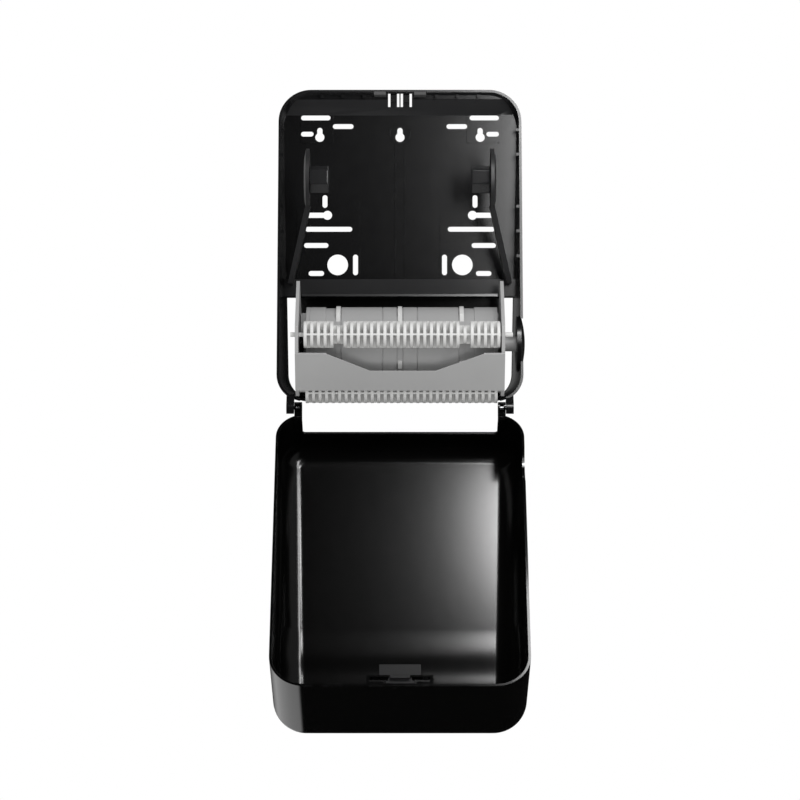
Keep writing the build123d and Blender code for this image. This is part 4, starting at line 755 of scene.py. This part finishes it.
# The room is white for the camera and even for matt surfaces. Glossy ones see it dark, with a white
# card behind on the left and a dimmer one on the right. Each edge of the left card has the axis of
# its direction, and where the card begins and is full.
ROOM_LIGHT = 0.8
DARK_ROOM = 0.005
LEFT_CARD = 0.75
LEFT_CARD_EDGES = (("X", -0.1, -0.15), ("Y", 0.99, 0.9), ("Y", 0.3, 0.5))
RIGHT_CARD = {"From Min": 0.5, "From Max": 0.7, "To Max": 0.2}
SENSOR_WIDTH = 36.0
CLIP_START = 0.1
CLIP_END = 50.0


def make_floor(level):
    """Pale floor that takes the shadow and stays out of the reflections."""
    mesh = bpy.data.meshes.new("floor")
    mesh.from_pydata([(x, y, level) for x, y in FLOOR_CORNERS], [], [(0, 1, 2, 3)])
    floor = add_object("floor", mesh)
    material, _, shader, _ = new_material("Painted studio floor")
    shader.inputs["Base Color"].default_value = bpy.context.scene.dispenser_colours.floor
    shader.inputs["Roughness"].default_value = FLOOR_ROUGHNESS
    mesh.materials.append(material)
    floor.visible_glossy = False


def make_softbox(name, place, target, width, height, power, diffuse, glossy):
    """Rectangular lamp aimed at a target."""
    lamp = bpy.data.lights.new(name, "AREA")
    lamp.shape = "RECTANGLE"
    lamp.size = width
    lamp.size_y = height
    lamp.energy = power
    holder = add_object(name, lamp)
    holder.location = place
    holder.rotation_euler = (Vector(target) - Vector(place)).to_track_quat("-Z", "Y").to_euler()
    holder.visible_camera = False
    holder.visible_diffuse = diffuse
    holder.visible_glossy = glossy


def make_world():
    """The room, as the camera, matt surfaces and glossy surfaces see it."""
    world = bpy.data.worlds.new("Studio")
    world.use_nodes = True
    tree = world.node_tree
    tree.nodes.clear()
    rays = add_node(tree, "ShaderNodeLightPath").outputs
    direction = add_node(tree, "ShaderNodeTexCoord").outputs["Generated"]
    axes = add_node(tree, "ShaderNodeSeparateXYZ", None, {0: direction}).outputs
    card = None
    for axis, begin, full in LEFT_CARD_EDGES:
        edge = add_node(
            tree, "ShaderNodeMapRange", {"From Min": begin, "From Max": full},
            {"Value": axes[axis]}).outputs[0]
        card = edge if card is None else add_node(
            tree, "ShaderNodeMath", {"operation": "MULTIPLY"}, {0: card, 1: edge}).outputs[0]
    left = add_node(
        tree, "ShaderNodeMapRange", {"To Min": DARK_ROOM, "To Max": LEFT_CARD}, {"Value": card}).outputs[0]
    right = add_node(tree, "ShaderNodeMapRange", RIGHT_CARD, {"Value": axes["X"]}).outputs[0]
    cards = add_node(tree, "ShaderNodeMath", {"operation": "ADD"}, {0: left, 1: right}).outputs[0]
    shiny = add_node(
        tree, "ShaderNodeMath", {"operation": "MAXIMUM"},
        {0: rays["Is Glossy Ray"], 1: rays["Is Transmission Ray"]}).outputs[0]
    bounced = add_node(tree, "ShaderNodeMix", {MIX_A: ROOM_LIGHT}, {0: shiny, MIX_B: cards}).outputs[0]
    strength = add_node(
        tree, "ShaderNodeMix", {MIX_B: 1.0}, {0: rays["Is Camera Ray"], MIX_A: bounced}).outputs[0]
    sky = add_node(tree, "ShaderNodeBackground", {"Color": (1, 1, 1, 1)}, {"Strength": strength})
    add_node(tree, "ShaderNodeOutputWorld", None, {"Surface": sky.outputs[0]})
    return world


def make_camera(sizes):
    """Camera straight in front of the wall."""
    lens = bpy.data.cameras.new("camera")
    lens.sensor_width = SENSOR_WIDTH
    lens.lens = lens.sensor_width * sizes.camera_distance / sizes.view_width
    lens.clip_start = CLIP_START
    lens.clip_end = CLIP_END
    camera = add_object("camera", lens)
    camera.location = (0, -sizes.camera_distance, sizes.camera_height)
    camera.rotation_euler = (pi / 2, 0, 0)
    return camera


# One operator for each group of pieces

class DISPENSER_OT_casing(bpy.types.Operator):
    """Back plate and its buffers"""
    bl_idname = "dispenser.casing"
    bl_label = "Casing"

    def execute(self, context):
        sizes = context.scene.dispenser_sizes
        plate = moulded_piece("back_plate", casing_mesh(), sizes.shell_edge)
        # The recess takes painted shade, and the band and ramp take painted sheen, as second and third
        # materials
        plate.data.materials.append(finish_of("inner_black_and_recess_shade"))
        plate.data.materials.append(finish_of("painted_sheen_black"))
        moulded_copy("cover_buffers", sizes.grey_edge)
        return {"FINISHED"}


class DISPENSER_OT_cover(bpy.types.Operator):
    """Front cover and its lock"""
    bl_idname = "dispenser.cover"
    bl_label = "Cover"

    def execute(self, context):
        sizes = context.scene.dispenser_sizes
        cover_piece(sizes.shell_edge)
        moulded_copy("lock_bracket", sizes.grey_edge, "inner_black_and_recess_shade")
        moulded_copy("lock_slider", sizes.grey_edge)
        return {"FINISHED"}


class DISPENSER_OT_roll_arms(bpy.types.Operator):
    """Roll arms and hubs"""
    bl_idname = "dispenser.roll_arms"
    bl_label = "Roll Arms"

    def execute(self, context):
        sizes = context.scene.dispenser_sizes
        for node in ("left_roll_arm", "right_roll_arm"):
            moulded_copy(node, sizes.shell_edge, "arm_nylon")
        for node in ("left_hub", "right_hub"):
            moulded_copy(node, sizes.hub_edge, "hub_black")
        return {"FINISHED"}


class DISPENSER_OT_feed_frame(bpy.types.Operator):
    """Side plates, front panel, paper guide, bushes and knife cam of the feed unit"""
    bl_idname = "dispenser.feed_frame"
    bl_label = "Feed Frame"

    def execute(self, context):
        sizes = context.scene.dispenser_sizes
        for node in ("left_side_plate", "right_side_plate", "front_panel", "right_drum_bush"):
            moulded_copy(node, sizes.grey_edge)
        guide = moulded_piece("paper_guide", guide_mesh(), sizes.grey_edge, "pale_plastic")
        # Grey on the fingers in the grooves is painted shade
        guide.data.materials.append(finish_of("grey_plastic"))
        moulded_copy("knife_cam", sizes.grey_edge, "black_plastic")
        flush_copy("left_drum_bush", sizes.grey_edge, BUSH_LEFT, "black_plastic")
        return {"FINISHED"}


class DISPENSER_OT_drum(bpy.types.Operator):
    """Drum, its caps, knob, knife holder and cam roller"""
    bl_idname = "dispenser.drum"
    bl_label = "Drum"

    def execute(self, context):
        sizes = context.scene.dispenser_sizes
        for node in ("drum_front_shell", "drum_rear_shell"):
            moulded_piece(node, drum_mesh(node), sizes.grey_edge)
        for node in ("knob_hub", "feed_knob", "knife_holder", "cam_roller"):
            moulded_copy(node, sizes.grey_edge)
        for node in ("drum_left_cap", "drum_right_cap"):
            moulded_copy(node, sizes.grey_edge, "grey_plastic")
        return {"FINISHED"}


class DISPENSER_OT_rollers(bpy.types.Operator):
    """Ribbed pinch rollers"""
    bl_idname = "dispenser.rollers"
    bl_label = "Rollers"

    def execute(self, context):
        sizes = context.scene.dispenser_sizes
        tree = ribbed_roller_tree()
        values = {
            "Disc Radius": sizes.disc_radius, "Disc Wall": sizes.disc_wall, "Disc Edge": sizes.disc_edge,
            "Web Reach": sizes.web_reach, "Web Wall": sizes.web_wall, "Neck Reach": sizes.neck_radius,
            "Stub Radius": sizes.stub_radius, "Finish": finish_of("pale_plastic"),
        }
        for node, pitch in (("upper_roller", sizes.disc_pitch), ("lower_roller", sizes.lower_pitch)):
            line = roller_line(node, pitch, sizes.neck_radius / sizes.disc_radius)
            mesh = made_by_nodes(tree, line, {**values, "Web Turn": WEB_TURN[node]})
            bm = bmesh.new()
            bm.from_mesh(mesh)
            smooth_curves(bm)
            bm.to_mesh(mesh)
            bm.free()
            seat(node + "_ribbed", mesh, node)
        return {"FINISHED"}


class DISPENSER_OT_metal(bpy.types.Operator):
    """Pins, shaft, screws, blade and lever"""
    bl_idname = "dispenser.metal"
    bl_label = "Metal Pieces"

    def execute(self, context):
        sizes = context.scene.dispenser_sizes
        for node in ("left_hinge_pin", "right_hinge_pin", "left_arm_pin", "right_arm_pin",
                     "left_hub_pin", "right_hub_pin", "module_screws",
                     "bracket_screws", "knob_screw", "blade_screws", "knife_lever"):
            moulded_copy(node, sizes.metal_edge)
        flush_copy("drum_shaft", sizes.metal_edge, SHAFT_LEFT)
        moulded_copy("knife_blade", 0)  # its teeth stay sharp
        return {"FINISHED"}


class DISPENSER_OT_stage(bpy.types.Operator):
    """Floor, light and camera"""
    bl_idname = "dispenser.stage"
    bl_label = "Stage"

    def execute(self, context):
        scene = context.scene
        sizes = scene.dispenser_sizes
        make_floor(cad_low.z - sizes.floor_drop)
        for name, setting in LAMPS.items():
            make_softbox(name, *setting)
        scene.world = make_world()
        scene.camera = make_camera(sizes)
        scene.view_settings.view_transform = "Standard"
        return {"FINISHED"}


class DISPENSER_PT_panel(bpy.types.Panel):
    """Lists the dispenser's pieces"""
    bl_idname = "DISPENSER_PT_panel"
    bl_label = "Roll Towel Dispenser"
    bl_space_type = "VIEW_3D"
    bl_region_type = "UI"
    bl_category = "Dispenser"

    def draw(self, context):
        for operator in OPERATORS:
            self.layout.operator(operator.bl_idname)


OPERATORS = (
    DISPENSER_OT_casing,
    DISPENSER_OT_cover,
    DISPENSER_OT_roll_arms,
    DISPENSER_OT_feed_frame,
    DISPENSER_OT_drum,
    DISPENSER_OT_rollers,
    DISPENSER_OT_metal,
    DISPENSER_OT_stage,
)
CLASSES = (DispenserSizes, DispenserColours, *OPERATORS, DISPENSER_PT_panel)


def register():
    for cls in CLASSES:
        bpy.utils.register_class(cls)
    bpy.types.Scene.dispenser_sizes = bpy.props.PointerProperty(type=DispenserSizes)
    bpy.types.Scene.dispenser_colours = bpy.props.PointerProperty(type=DispenserColours)


def unregister():
    del bpy.types.Scene.dispenser_colours
    del bpy.types.Scene.dispenser_sizes
    for cls in reversed(CLASSES):
        bpy.utils.unregister_class(cls)


def main():
    register()
    bpy.ops.dispenser.stage()
    bpy.ops.dispenser.casing()
    bpy.ops.dispenser.cover()
    bpy.ops.dispenser.roll_arms()
    bpy.ops.dispenser.feed_frame()
    bpy.ops.dispenser.drum()
    bpy.ops.dispenser.rollers()
    bpy.ops.dispenser.metal()


if __name__ == "__main__":
    main()
